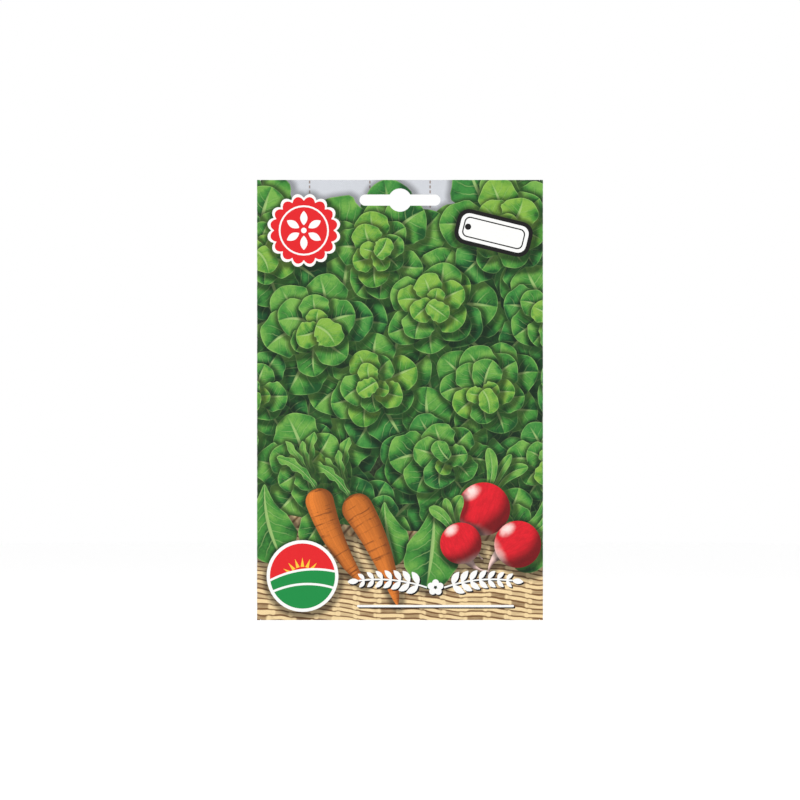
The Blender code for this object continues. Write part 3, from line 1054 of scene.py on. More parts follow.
def seal(centre, radius):
    """A red scalloped seal with a white rim and a ring of six white leaves round a dot."""
    parts = [
        Motif("white", scallops(centre, radius, SCALLOPS, SCALLOP_DEPTH)),
        stamp("seal_red", scallops(centre, radius - 1.2, SCALLOPS, SCALLOP_DEPTH)),
        stamp("white", ring(centre, radius * SEAL_CIRCLE, 32)),
        stamp("seal_red", ring(centre, radius * SEAL_CIRCLE - 0.7, 32)),
    ]
    for foot, tip in zip(ring(centre, 2.1, 6, math.pi / 6), ring(centre, 7.7, 6, math.pi / 6)):
        parts.append(lens_leaf("white", foot, tip, 0, 1.45, samples=10))
    return parts + [stamp("white", ring(centre, 1.1, 16))]


# Centre of the tag, and its turn in radians
TAG = (37.0, -13.0)
TAG_TURN = -0.24


def tag(centre, angle):
    """A blank white label with a heavy black rim and a string hole."""

    def box(width, height, radius):
        return turned(rounded_box(width, height, radius), angle, centre)

    hole = turned([(-10.4, 0.0)], angle, centre)[0]
    return [
        Motif("black", box(30.5, 14.0, 4.6)),
        stamp("white", box(27.3, 10.8, 3.2)),
        stamp("black", box(24.6, 8.2, 2.2)),
        stamp("white", box(23.6, 7.2, 1.8)),
        stamp("black", ring(hole, 1.25, 16)),
    ]


# Centre and radius of the roundel
ROUNDEL = (-38.5, -148.5)
ROUNDEL_RADIUS = 14.2


def sun_ray(x, z, angle, foot, tip, spread, casts=False):
    """One pointed ray of a sun about (x, z)."""
    ends = ((foot, -spread), (tip, 0.0), (foot, spread))
    return Motif("sun", [polar(x, z, reach, angle + off) for reach, off in ends], casts=casts)


def roundel(centre, radius):
    """A sun over two hills in a white-rimmed disc."""
    x, z = centre
    inner = radius - 1.3
    parts = [Motif("white", ring(centre, radius, 48)), stamp("seal_red", ring(centre, inner, 48))]
    for number in range(9):
        parts.append(sun_ray(x, z - 1.5, math.pi * (number + 0.5) / 9, 5.2, 8.8, 0.14))
    parts.append(stamp("sun", ring((x, z - 1.5), 4.4, 28)))

    def hill(rise, lean):
        """The part of the disc below a rising line, which arches like a hill."""
        turns = np.linspace(math.pi + rise, 2 * math.pi - rise + lean, 30)
        arc = np.stack((x + inner * np.cos(turns), z + inner * np.sin(turns)), 1)
        return np.vstack((arc, bow(arc[-1], arc[0], 0.09, 14)[1:-1]))

    for rise, lean in ((0.10, 0.28), (0.45, 0.12)):
        parts += [stamp("white", hill(rise, lean)), stamp("hill_green", hill(rise + 0.07, lean))]
    return parts


def linen():
    """The cloth that shows above the topmost leaves."""
    return [stamp("linen", block(-60, -14, 60, TOP + 4))]


def front_motifs(radius, seed):
    """Everything printed on the front, from the lowest to the topmost."""
    draw = random.Random(seed)
    motifs = [stamp("soil", block(-62, BOTTOM - 6, 62, TOP + 6))]
    motifs += linen() + rosettes(radius, draw) + straw_mat() + fallen_leaves(draw)
    for carrot_place in CARROTS:
        motifs += carrot(*carrot_place, draw)
    for radish_place in RADISHES:
        motifs += radish(*radish_place)
    motifs += garland(GARLAND) + seal(SEAL, SEAL_RADIUS)
    return motifs + tag(TAG, TAG_TURN) + roundel(ROUNDEL, ROUNDEL_RADIUS)


def on_back(x):
    """Place on the net of the back panel's point at x, seen from the front."""
    return BACK_START + LEFT_X - x


# Place, and direction in radians, of each sprig on the back
BACK_SPRIGS = ((-34, -142, 1.1), (34, -142, 2.04), (-40, -92, 1.3), (40, -92, 1.84))

# The sowing calendar: the months, counted from 0, in which the seed is sown and the crop is picked
SOWN = (2, 3, 4, 7, 8)
PICKED = (5, 6, 9, 10)
MONTH_STEP = 8.2
CALENDAR_Z = -49
PICTOGRAM_Z = -70.0


def back_motifs():
    """The back's design: a green and a yellow band, sprigs, a sowing calendar, signs and a box for notes."""
    middle = on_back(0.0)
    wide = 2 * HALF_WIDTH

    def box(width, height, radius, x, z, ink):
        return stamp(ink, turned(rounded_box(width, height, radius), 0, (on_back(x), z)))

    parts = [
        stamp("cream", block(on_back(60), LOW_Z - 1, LEFT_X, TOP)),
        box(wide + 6, 22, 0.5, 0, -24, "hill_green"),
        box(wide + 6, 1.2, 0.5, 0, -37, "sun"),
    ]
    parts += garland((middle, -23.5), "white", None)
    for x, z, turn in BACK_SPRIGS:
        parts += sprig((on_back(x), z), 34, turn, "pale_green", leaf=9.5, bend=0.08)
    for month in range(12):
        ink = "hill_green" if month in SOWN else "sun" if month in PICKED else "white"
        x = (month - 5.5) * MONTH_STEP
        parts += [box(7.4, 9.0, 1.2, x, CALENDAR_Z, "hill_green"), box(6.8, 8.4, 0.9, x, CALENDAR_Z, ink)]
    for number, ink in enumerate(("seal_red", "hill_green", "sun")):
        x = on_back((number - 1) * 26.0)
        for disc, radius in ((ink, 9.0), ("white", 8.2)):
            parts.append(stamp(disc, ring((x, PICTOGRAM_Z), radius, 40)))
        parts += pictogram(number, x, PICTOGRAM_Z)
    parts.append(box(82, 40, 2.5, 0, -112, "hill_green"))
    parts.append(box(81, 39, 2.1, 0, -112, "white"))
    for rule in range(4):
        parts.append(box(72, 0.35, 0.15, 0, -100.5 - rule * 8.0, "hill_green"))
    return parts


def pictogram(number, x, z):
    """A sprout, a seed under a line of soil, or a sun."""
    if number == 0:
        parts = [Blade("hill_green", bow((x, z - 5.5), (x, z + 1), 0.02, 6), 0.4, even_profile, samples=6)]
        for turn in (0.5, math.pi - 0.5):
            tip = polar(x, z + 1, 6, turn)
            parts.append(lens_leaf("hill_green", (x, z - 0.5), tip, 0.1, 1.7, casts=True))
        return parts
    if number == 1:
        return [
            Motif("black", block(x - 6, z + 0.4, x + 6, z + 1.1)),
            lens_leaf("leaf", (x, z - 4.6), (x, z - 1.2), 0, 1.1, casts=True),
            Motif("black", [(x - 1.4, z + 3.6), (x + 1.4, z + 3.6), (x, z + 1.9)]),
            Motif("black", block(x - 0.35, z + 5.6, x + 0.35, z + 3.4)),
        ]
    rays = [sun_ray(x, z, 2 * math.pi * step / 10, 3.4, 6.2, 0.2, casts=True) for step in range(10)]
    return rays + [Motif("sun", ring((x, z), 2.9, 24))]


def net_outline():
    """The cut edge of the flat sheet, anticlockwise from the back panel's foot."""
    back, side = on_back(BACK_PANEL_EDGE), SIDE_FLAP_START + RIGHT_X - SIDE_FLAP_EDGE
    low, high = BOTTOM_FLAP_START - BOTTOM_FLAP_HEIGHT, TOP_FLAP_START + TOP_FLAP_HEIGHT
    wide, narrow = FLAP_HALF_WIDTH, FLAP_HALF_WIDTH - FLAP_TAPER
    ear, left, right = wide + EAR_CUT, BACK_START - EAR_DEPTH, SIDE_FLAP_START + EAR_DEPTH

    def end(rim, ear_rim, fold_end, flap_edge):
        """One end of the net, from left to right: an ear, the cut beside the flap, the flap and an ear."""
        return [
            (back, rim), (left, rim), (left, ear_rim), (-ear, ear_rim), (-ear, rim), (-wide, rim),
            (-wide, fold_end), (-narrow, flap_edge), (narrow, flap_edge), (wide, fold_end),
            (wide, rim), (ear, rim), (ear, ear_rim), (right, ear_rim), (right, rim), (side, rim),
        ]

    foot = end(LOW_Z, EAR_LOW, BOTTOM_FLAP_START, low)
    return np.array(foot + end(HIGH_Z, EAR_HIGH, TOP_FLAP_START, high)[::-1])


# Steps round each end of the slot and round each half of its hole
END_STEPS = 12
HOLE_STEPS = 22


def slot_outlines():
    """Where the hanging slot passes through each layer of the header: front, back panel and top flap."""
    end, corner = SLOT_WING_HEIGHT / 2, math.asin(SLOT_WING_HEIGHT / 2 / SLOT_HOLE_RADIUS)
    end_x = SLOT_WIDTH / 2 - end

    def arc(centre_x, radius, start, stop, steps):
        turns = np.linspace(start, stop, steps + 1)
        return np.stack((centre_x + radius * np.cos(turns), radius * np.sin(turns)), 1)

    half = math.pi / 2
    slot = np.vstack((
        arc(end_x, end, -half, half, END_STEPS),
        arc(0, SLOT_HOLE_RADIUS, corner, math.pi - corner, HOLE_STEPS),
        arc(-end_x, end, half, 3 * half, END_STEPS),
        arc(0, SLOT_HOLE_RADIUS, math.pi + corner, 2 * math.pi - corner, HOLE_STEPS),
    ))
    flap = np.stack((slot[:, 0], TOP_FLAP_START + HIGH_Z - slot[:, 1]), 1)
    return [slot, np.stack((on_back(slot[:, 0]), slot[:, 1]), 1), flap]


def spaced_points(start, end, pitch):
    """Points from start to end, about a pitch apart."""
    start, end = np.array(start, float), np.array(end, float)
    count = max(1, round(float(np.linalg.norm(end - start)) / pitch))
    return start + (end - start) * np.linspace(0, 1, count + 1)[:, None]


def fold_lines(pitch):
    """The lines along each fold's arc."""
    lines = []
    for start, end in ((RIGHT_X, SIDE_FLAP_START), (LEFT_X, BACK_START)):
        for u in np.linspace(start, end, FOLD_STEPS + 1):
            lines.append(spaced_points((u, EAR_LOW), (u, EAR_HIGH), pitch))
    for start, end in ((HIGH_Z, TOP_FLAP_START), (LOW_Z, BOTTOM_FLAP_START)):
        for v in np.linspace(start, end, FOLD_STEPS + 1):
            lines.append(spaced_points((-FLAP_HALF_WIDTH, v), (FLAP_HALF_WIDTH, v), pitch))
    return lines


def zone_edges():
    """The rectangle of net that the front's print covers, with its bleed round the folds."""
    return (BACK_START - BLEED, BOTTOM_FLAP_START - BLEED), (SIDE_FLAP_START + BLEED, TOP_FLAP_START + BLEED)


def zone_lines(pitch):
    """The edges of that rectangle, as far as the sheet reaches."""
    (left, low), (right, high) = zone_edges()
    ends = [((u, LOW_Z), (u, HIGH_Z)) for u in (left, right)]
    ends += [((-FLAP_HALF_WIDTH, v), (FLAP_HALF_WIDTH, v)) for v in (low, high)]
    return [spaced_points(start, end, pitch) for start, end in ends]


def free_points(lines, pitch, outline):
    """A triangular grid of points over the outline, without those that lie close to a line."""
    marks = [p for line in lines for a, b in zip(line, line[1:]) for p in spaced_points(a, b, LINE_GAP)]
    near = kdtree.KDTree(len(marks))
    for index, mark in enumerate(marks):
        near.insert((*mark, 0), index)
    near.balance()
    low, high = outline.min(0), outline.max(0)
    points = []
    for number, v in enumerate(np.arange(low[1], high[1], pitch * 0.87)):
        for u in np.arange(low[0] + pitch * 0.5 * (number % 2), high[0], pitch):
            if near.find((u, v, 0))[2] > LINE_GAP:
                points.append(Vector((u, v)))
    return points


class FlatMesh:
    """A triangulated piece of the flat net: points and triangles, in millimetres."""

    def __init__(self, lines, pitch, outline, slots):
        points, edges = [], []
        for line in lines:
            first = len(points)
            points += [Vector(p) for p in line]
            edges += [(first + i, first + i + 1) for i in range(len(line) - 1)]
        points += free_points(lines, pitch, outline)
        made = geometry.delaunay_2d_cdt(points, edges, [], 0, MERGE, True)
        self.points = np.array([tuple(p) for p in made[0]])
        faces = np.array([tuple(f) for f in made[2]])
        middles = self.points[faces].mean(1)
        keep = within(middles, outline)
        for slot in slots:
            keep &= ~within(middles, slot)
        faces = faces[keep]
        corners = self.points[faces]
        area = np.cross(corners[:, 1] - corners[:, 0], corners[:, 2] - corners[:, 0])
        faces = np.where((area < 0)[:, None], faces[:, ::-1], faces)
        used, index = np.unique(faces, return_inverse=True)
        self.points, self.faces = self.points[used], index.reshape(-1, 3)
        self.middles = self.points[self.faces].mean(1)

    def rim(self):
        """Directed edges along the cut edge, in the direction of their face."""
        ends = np.concatenate([self.faces[:, [0, 1]], self.faces[:, [1, 2]], self.faces[:, [2, 0]]])
        key = np.sort(ends, axis=1)
        _, index, count = np.unique(key, axis=0, return_inverse=True, return_counts=True)
        return ends[count[index.reshape(-1)] == 1]


def seen_lines(motifs, zone):
    """The parts of each motif's lines that no later motif covers and that cross the zone."""
    low, high = np.array(zone[0]) - 1, np.array(zone[1]) + 1
    lines = []
    for number, motif in enumerate(motifs):
        above = [m for m in motifs[number + 1:] if (m.low < motif.high).all() and (m.high > motif.low).all()]
        for line in motif.lines():
            middles = (line[:-1] + line[1:]) / 2
            seen = ((middles > low) & (middles < high)).all(1)
            for other in above:
                probe = np.vstack((line[:-1], middles, line[1:]))
                covered = within(probe, other.outline).reshape(3, -1).all(0)
                seen &= ~covered
            lines += [spaced_points(line[i], line[i + 1], PRINT_PITCH) for i in np.flatnonzero(seen)]
    return lines


class Print:
    """The printed side of the sheet: its mesh, and for every corner what the inks need to know."""

    def __init__(self, front, back, ink_order):
        self.order = ink_order
        (left, low), (right, high) = zone_edges()
        outline, slots = net_outline(), slot_outlines()
        sides = zip(outline, np.roll(outline, -1, 0))
        edge = np.vstack([spaced_points(start, end, LINING_PITCH)[:-1] for start, end in sides])
        lines = [closed(line) for line in (edge, *slots)]
        lines += fold_lines(LINING_PITCH) + zone_lines(LINING_PITCH)
        lines += seen_lines(front, ((left, low), (right, high)))
        lines += seen_lines(back, ((outline[0][0], LOW_Z), (left, HIGH_Z)))
        self.mesh = FlatMesh(lines, PRINT_PITCH, outline, slots)
        middles = self.mesh.middles
        in_front = ((middles > (left, low)) & (middles < (right, high))).all(1)
        in_back = (middles[:, 0] < left) & ~in_front
        count = len(self.mesh.faces)
        self.ink = np.full(count, ink_order["hill_green"])
        self.place = np.zeros((count, 3, 2))
        self.marks = np.zeros((count, 3, 4))
        self.light = np.full((count, 3), 0.5)
        for motifs, zone in ((front, in_front), (back, in_back)):
            self.print_zone(motifs, zone)

    def print_zone(self, motifs, zone):
        middles = self.mesh.middles
        owner = np.full(len(middles), -1)
        for number, motif in enumerate(motifs):
            near = np.flatnonzero(zone & ((middles > motif.low) & (middles < motif.high)).all(1))
            if len(near):
                owner[near[within(middles[near], motif.outline)]] = number
        for number, motif in enumerate(motifs):
            faces = np.flatnonzero(owner == number)
            if not len(faces):
                continue
            corners = self.mesh.points[self.mesh.faces[faces]].reshape(-1, 2)
            across, along, light = motif.place(corners, np.repeat(middles[faces], 3, axis=0))
            self.ink[faces] = self.order[motif.ink]
            self.place[faces] = np.stack((across, along), 1).reshape(-1, 3, 2)
            self.light[faces] = light.reshape(-1, 3)
            edge = distance_to(corners, motif.outline) / EDGE_REACH
            above = [m for m in motifs[number + 1:] if m.casts]
            shadow = self.shadow(corners, above)
            tone, draw = (np.full(len(corners), value) for value in (motif.tone, motif.draw))
            self.marks[faces] = np.stack((tone, edge, shadow, draw), 1).reshape(-1, 3, 4)

    @staticmethod
    def shadow(points, above):
        """How far each point is out of the shadows of the motifs above it, as a share of the reach."""
        low, high = points.min(0) - SHADOW_REACH, points.max(0) + SHADOW_REACH
        shifted = points + SHADOW_SHIFT
        least = np.full(len(points), SHADOW_REACH)
        for motif in above:
            if (motif.low > high).any() or (motif.high < low).any():
                continue
            gap = distance_to(shifted, motif.outline)
            gap = np.where(within(shifted, motif.outline), -gap, gap)
            least = np.minimum(least, gap)
        return (least / SHADOW_REACH).clip(0, 1)


def ramp(value, start, end):
    """A smooth step from 0 at start to 1 at end."""
    share = ((value - start) / (end - start)).clip(0, 1)
    return share * share * (3 - 2 * share)


def swell(x, z, shape):
    """How full a belly of this shape is at (x, z), from 0 at its edge to 1 at its middle."""
    half_width, foot, head, fullness = shape
    across = (1 - (x / half_width) ** 2).clip(0, 1) ** fullness
    return across * ramp(z, foot, BELLY_Z) * ramp(z, head, BELLY_Z)


def creases(x, z):
    """Soft creases that run from the filled belly towards the corners and the header."""
    spread = np.sin(x * 0.31 + np.sin(z * 0.07) * 1.6) * ramp(z, -104, -70) * ramp(z, -34, -56)
    foot = np.sin((x + z * 0.35) * 0.42 + 1.0) * ramp(np.abs(x), 22, 38)
    foot = foot * ramp(z, -118, -140) * ramp(z, -162, -152)
    return CREASE * (spread + foot) * ramp(np.abs(x), 50, 42)


def paper_lift(x, z):
    """How far the contents push the panels out at (x, z), in millimetres, as the solid model has it."""
    outline = (
        ramp(np.abs(x), LIFT_FREE_X, SACHET_HALF_WIDTH)
        * ramp(z, LOW_Z, SACHET_BOTTOM)
        * ramp(z, SACHET_TOP + LIFT_FADE, SACHET_TOP)
    )
    return SACHET_LIFT * outline + BELLY * swell(x, z, PAPER_BELLY) + creases(x, z)


def folded(points):
    """Places and outward normals of points of the flat net once the sheet is folded, in millimetres."""
    u, v = points.T
    x, y, z = u.copy(), np.zeros(len(u)), v.copy()
    normal = np.zeros((len(u), 3))
    turn_right = (u > RIGHT_X) & (u < SIDE_FLAP_START)
    turn_left = (u < LEFT_X) & (u > BACK_START)
    hinged = np.abs(u) < FLAP_HALF_WIDTH + MERGE
    turn_top = hinged & (v > HIGH_Z) & (v < TOP_FLAP_START)
    turn_foot = hinged & (v < LOW_Z) & (v > BOTTOM_FLAP_START)
    side_flap, back = u >= SIDE_FLAP_START, u <= BACK_START
    top_flap, foot_flap = v >= TOP_FLAP_START, v <= BOTTOM_FLAP_START
    x[side_flap] = RIGHT_X + SIDE_FLAP_START - u[side_flap]
    x[back] = LEFT_X + BACK_START - u[back]
    z[top_flap] = HIGH_Z + TOP_FLAP_START - v[top_flap]
    z[foot_flap] = LOW_Z + BOTTOM_FLAP_START - v[foot_flap]
    lift, step = paper_lift(x, z), 0.2
    slope_x = (paper_lift(x + step, z) - paper_lift(x - step, z)) / (2 * step)
    slope_z = (paper_lift(x, z + step) - paper_lift(x, z - step)) / (2 * step)
    front = ~(turn_right | turn_left | turn_top | turn_foot | side_flap | back | top_flap | foot_flap)
    for panel, level, side in (
        (front, FRONT_Y, -1), (side_flap, SIDE_FLAP_Y, 1), (back, BACK_Y, 1),
        (top_flap, FLAP_Y, 1), (foot_flap, FLAP_Y, 1),
    ):
        y[panel] = level + side * lift[panel]
        normal[panel] = np.stack((-slope_x[panel], np.full(panel.sum(), side), -slope_z[panel]), 1)
    for fold, place, start, radius, centre_y, side in (
        (turn_right, u, RIGHT_X, RIGHT_FOLD, (FRONT_Y + SIDE_FLAP_Y) / 2, 1),
        (turn_left, u, LEFT_X, LEFT_FOLD, MIDDLE_Y, -1),
    ):
        angle = np.abs(place[fold] - start) / radius
        x[fold] = start + side * radius * np.sin(angle)
        y[fold] = centre_y - radius * np.cos(angle)
        normal[fold] = np.stack((side * np.sin(angle), -np.cos(angle), 0 * angle), 1)
    for fold, start, side in ((turn_top, HIGH_Z, 1), (turn_foot, LOW_Z, -1)):
        angle = np.abs(v[fold] - start) / END_FOLD
        z[fold] = start + side * END_FOLD * np.sin(angle)
        y[fold] = -END_FOLD * np.cos(angle)
        normal[fold] = np.stack((0 * angle, -np.cos(angle), side * np.sin(angle)), 1)
    normal /= np.linalg.norm(normal, axis=1)[:, None]
    return np.stack((x, y, z), 1), normal


def lining_of(printed):
    """The sheet's inner side: a coarser mesh with exactly the printed side's cut edge."""
    rim = printed.rim()
    lines = [printed.points[edge] for edge in rim] + fold_lines(LINING_PITCH)
    return FlatMesh(lines, LINING_PITCH, net_outline(), slot_outlines())


def matched(points, others):
    """For each point, the index of the same point among the others."""
    order = {tuple(p): i for i, p in enumerate(np.round(others, 5))}
    return np.array([order[tuple(p)] for p in np.round(points, 5)])


def baking_map(net, scale, low, left, bottom):
    """Places on the baked picture for points of the net."""
    return (net - low) * scale + (left, bottom)


# The map for baked pictures: its margin, and the size of the plain lining beside the net's
MAP_MARGIN = 0.004
LINING_SCALE = 0.11


def new_object(name, mesh):
    obj = bpy.data.objects.new(name, mesh)
    bpy.context.scene.collection.objects.link(obj)
    return obj


def build_sheet(colours, settings):
    """The printed sheet, folded and glued, as one closed mesh."""
    inks = Inks(colours, settings).all()
    order = {name: slot for slot, name in enumerate(inks)}
    front = front_motifs(settings.rosette_radius / MM, settings.print_seed)
    printed = Print(front, back_motifs(), order)
    outer, inner = printed.mesh, lining_of(printed.mesh)
    outer_place, outer_normal = folded(outer.points)
    inner_place, inner_normal = folded(inner.points)
    rim = outer.rim()
    rim_inner = matched(outer.points[rim.ravel()], inner.points).reshape(-1, 2) + len(outer.points)
    places = np.vstack((outer_place + outer_normal * PAPER / 2, inner_place - inner_normal * PAPER / 2)) * MM
    inner_faces = inner.faces[:, ::-1] + len(outer.points)
    edge_faces = np.stack((rim[:, 1], rim[:, 0], rim_inner[:, 0], rim_inner[:, 1]), 1)
    mesh = bpy.data.meshes.new("folded_sheet")
    mesh.from_pydata(places, [], [*outer.faces.tolist(), *inner_faces.tolist(), *edge_faces.tolist()])
    for ink in inks.values():
        mesh.materials.append(ink)
    bare = np.full(len(inner_faces) + len(edge_faces), order["bare"])
    mesh.polygons.foreach_set("material_index", np.concatenate((printed.ink, bare)).astype(np.int32))
    add_corner_values(mesh, printed, 3 * len(inner_faces) + 4 * len(edge_faces))
    add_baking_map(mesh, outer, inner, rim)
    first, second, third = places[edge_faces[:, :3].T]
    flat = np.cross(second - first, third - first)
    flat /= np.maximum(np.linalg.norm(flat, axis=1), 1e-12)[:, None]
    normals = np.vstack((
        outer_normal[outer.faces.ravel()],
        -inner_normal[inner.faces[:, ::-1].ravel()],
        np.repeat(flat, 4, axis=0),
    ))
    mesh.shade_smooth()
    mesh.normals_split_custom_set(normals.tolist())
    mesh.update()
    return new_object("folded_sheet", mesh)


def add_corner_values(mesh, printed, rest):
    """The motif's own coordinates, its marks and its light, for every corner. The last corners have none."""
    def every(values, width):
        filled = np.vstack((values.reshape(-1, width), np.zeros((rest, width))))
        return filled.astype(np.float32).ravel()

    mesh.uv_layers.new(name="motif").uv.foreach_set("vector", every(printed.place, 2))
    marks = mesh.attributes.new("marks", "FLOAT_COLOR", "CORNER")
    marks.data.foreach_set("color", every(printed.marks, 4))
    light = mesh.attributes.new("light", "FLOAT", "CORNER")
    light.data.foreach_set("value", every(printed.light, 1))


def add_baking_map(mesh, outer, inner, rim):
    """A map for pictures baked from the materials: the net, and above it the lining and the cut edges."""
    low, high = outer.points.min(0), outer.points.max(0)
    scale = (1 - 2 * MAP_MARGIN) / (high - low).max()
    taken = (high[1] - low[1]) * scale + 2 * MAP_MARGIN
    first = baking_map(outer.points, scale, low, MAP_MARGIN, MAP_MARGIN)[outer.faces.ravel()]
    mirrored = np.stack((high[0] - inner.points[:, 0], inner.points[:, 1] - low[1]), 1)
    small = scale * LINING_SCALE
    second = baking_map(mirrored, small, 0, MAP_MARGIN, taken)[inner.faces[:, ::-1].ravel()]
    left = second[:, 0].max() + 4 * MAP_MARGIN
    count = len(rim)
    side = math.ceil(math.sqrt(count))
    cell = min(1 - MAP_MARGIN - left, 1 - MAP_MARGIN - taken) / side
    corner = np.stack((left + (np.arange(count) % side) * cell, taken + (np.arange(count) // side) * cell), 1)
    square = np.array(((0, 0), (1, 0), (1, 1), (0, 1))) * cell * 0.8
    third = (corner[:, None] + square).reshape(-1, 2)
    mesh.uv_layers.new(name="OFBake").uv.foreach_set(
        "vector", np.vstack((first, second, third)).astype(np.float32).ravel()
    )


class PACKET_OT_sheet(bpy.types.Operator):
    """Print, cut and fold the packet's sheet"""
    bl_idname = "seed_packet.sheet"
    bl_label = "Printed Sheet"

    def execute(self, context):
        scene = context.scene
        sheet = build_sheet(scene.packet_colours, scene.packet_sheet)
        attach(sheet, "root")
        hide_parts("packet")
        return {"FINISHED"}


def grid_mesh(name, rows):
    """A sheet of quads through rows of points, in metres."""
    count = len(rows[0])
    faces = []
    for row in range(len(rows) - 1):
        for column in range(count - 1):
            a = row * count + column
            faces.append((a, a + 1, a + 1 + count, a + count))
    mesh = bpy.data.meshes.new(name)
    mesh.from_pydata(np.vstack(rows) * MM, [], faces)
    mesh.update()
    return mesh


# The foil, the film between its two sides, the pitch of its mesh and the widths of its seals, in millimetres
FOIL = 0.10
SEAL_GAP = 0.10
WEB_OFFSET = (FOIL + SEAL_GAP) / 2
FOIL_PITCH = 1.2
RIB_STEP = 0.225
SIDE_SEAL = 4.5
TOP_SEAL = 7.65


def sachet_room(x, z):
    """How far the seeds push each side of the sachet out at (x, z), in millimetres."""
    return BELLY * swell(np.asarray(x, float), np.asarray(z, float), SACHET_BELLY)


def foil_crumple(x, z, height):
    """Soft creases in the foil, none in its seals."""
    free = ramp(np.abs(x), SACHET_HALF_WIDTH - SIDE_SEAL, SACHET_HALF_WIDTH - SIDE_SEAL - 7)
    free = free * ramp(z, SACHET_TOP - 8, SACHET_TOP - 16) * ramp(z, SACHET_BOTTOM + 1, SACHET_BOTTOM + 8)
    waves = np.sin(x * 0.55 + 1.7 * np.sin(z * 0.23)) * np.sin(z * 0.41 + 1.3 * np.sin(x * 0.19))
    pressed = np.sin(x * 2.3 + 2.0 * np.sin(z * 1.1)) * np.sin(z * 2.1 + 2.0 * np.sin(x * 0.9))
    return height * (free * waves + 0.4 * swell(x, z, SACHET_BELLY) * pressed)


def spaced_steps(start, end, pitch):
    return np.linspace(start, end, round(abs(end - start) / pitch) + 1)


def sachet_rows(crumple):
    """Rows of points down the front of the sachet, round its folded foot and up its back."""
    seal = SACHET_HALF_WIDTH - SIDE_SEAL
    edge = spaced_steps(seal, SACHET_HALF_WIDTH, RIB_STEP)
    x = np.concatenate((-edge[::-1], spaced_steps(-seal, seal, FOIL_PITCH)[1:-1], edge))
    start = SACHET_BOTTOM + WEB_OFFSET + FOIL / 2
    levels = np.concatenate((
        spaced_steps(SACHET_TOP, SACHET_TOP - TOP_SEAL, RIB_STEP),
        spaced_steps(SACHET_TOP - TOP_SEAL, start, FOIL_PITCH)[1:],
    ))

    def row(z, side):
        level = np.full_like(x, z)
        lift = sachet_room(x, level) - side * foil_crumple(x, level, crumple)
        return np.stack((x, MIDDLE_Y + side * (WEB_OFFSET + lift), level), 1)

    rows = [row(z, -1) for z in levels]
    for angle in np.linspace(0, math.pi, 7)[1:-1]:
        y = MIDDLE_Y - WEB_OFFSET * math.cos(angle)
        rows.append(np.stack((x, y + 0 * x, start - WEB_OFFSET * math.sin(angle) + 0 * x), 1))
    rows += [row(z, 1) for z in levels[::-1]]
    return rows


def geometry_tree(name, inputs):
    """A Geometry Nodes tree with a geometry in and out and these inputs, as (name, kind, default)."""
    tree = bpy.data.node_groups.new(name, "GeometryNodeTree")
    tree.interface.new_socket(name="Geometry", in_out="INPUT", socket_type="NodeSocketGeometry")
    for label, kind, default in inputs:
        socket = tree.interface.new_socket(name=label, in_out="INPUT", socket_type=kind)
        if default is not None:
            socket.default_value = default
    tree.interface.new_socket(name="Geometry", in_out="OUTPUT", socket_type="NodeSocketGeometry")
    return Tree(tree), tree.nodes.new("NodeGroupInput").outputs, tree.nodes.new("NodeGroupOutput").inputs


def finish_tree(tree, out, shape, material):
    """Ends a tree in Realize Instances and Set Material."""
    realised = tree.node("GeometryNodeRealizeInstances", Geometry=shape)
    painted = tree.node("GeometryNodeSetMaterial", Geometry=realised.outputs[0])
    painted.inputs["Material"].default_value = material
    tree.feed(out["Geometry"], painted.outputs[0])


def crimp_tree(material):
    """Presses the sachet's borders into fine ribs that run along each seal."""
    tree, given, out = geometry_tree("crimped_seals", [
        ("Half Width", FLOAT, SACHET_HALF_WIDTH * MM), ("Top", FLOAT, SACHET_TOP * MM),
        ("Seal Width", FLOAT, 0.0045), ("Rib Pitch", FLOAT, 0.0009), ("Rib Height", FLOAT, 0.00006),
    ])
    x, _, z = tree.apart(tree.node("GeometryNodeInputPosition").outputs[0])
    from_side = tree.math("SUBTRACT", given["Half Width"], tree.math("ABSOLUTE", x))
    from_top = tree.math("SUBTRACT", given["Top"], z)
    beside = tree.math("LESS_THAN", from_side, given["Seal Width"])
    over = tree.math("LESS_THAN", from_top, tree.times(given["Seal Width"], TOP_SEAL / SIDE_SEAL))
    turns = 2 * math.pi
    across = tree.math("SINE", tree.times(tree.math("DIVIDE", from_top, given["Rib Pitch"]), turns))
    along = tree.math("SINE", tree.times(tree.math("DIVIDE", from_side, given["Rib Pitch"]), turns))
    sides_only = tree.times(beside, tree.math("SUBTRACT", 1.0, over), along)
    push = tree.times(tree.add(tree.times(over, across), sides_only), given["Rib Height"])
    moved_points = tree.node("GeometryNodeSetPosition", Geometry=given["Geometry"])
    tree.feed(moved_points.inputs["Offset"], tree.vector(0.0, push, 0.0))
    finish_tree(tree, out, moved_points.outputs[0], material)
    return tree.tree


def with_tree(obj, tree, **values):
    """Runs a tree on the object and keeps the result as its plain mesh."""
    modifier = obj.modifiers.new(tree.name, "NODES")
    modifier.node_group = tree
    names = {s.name: s.identifier for s in tree.interface.items_tree if getattr(s, "in_out", "") == "INPUT"}
    for label, value in values.items():
        modifier[names[label.replace("_", " ")]] = value
    applied(obj)


def applied(obj):
    """The object's evaluated mesh becomes its own, and its modifiers go."""
    graph = bpy.context.evaluated_depsgraph_get()
    mesh = bpy.data.meshes.new_from_object(obj.evaluated_get(graph))
    obj.modifiers.clear()
    obj.data = mesh


# How fine the foil's rolled streaks are along x, y and z, per metre
FOIL_STREAKS = (900.0, 300.0, 40.0)


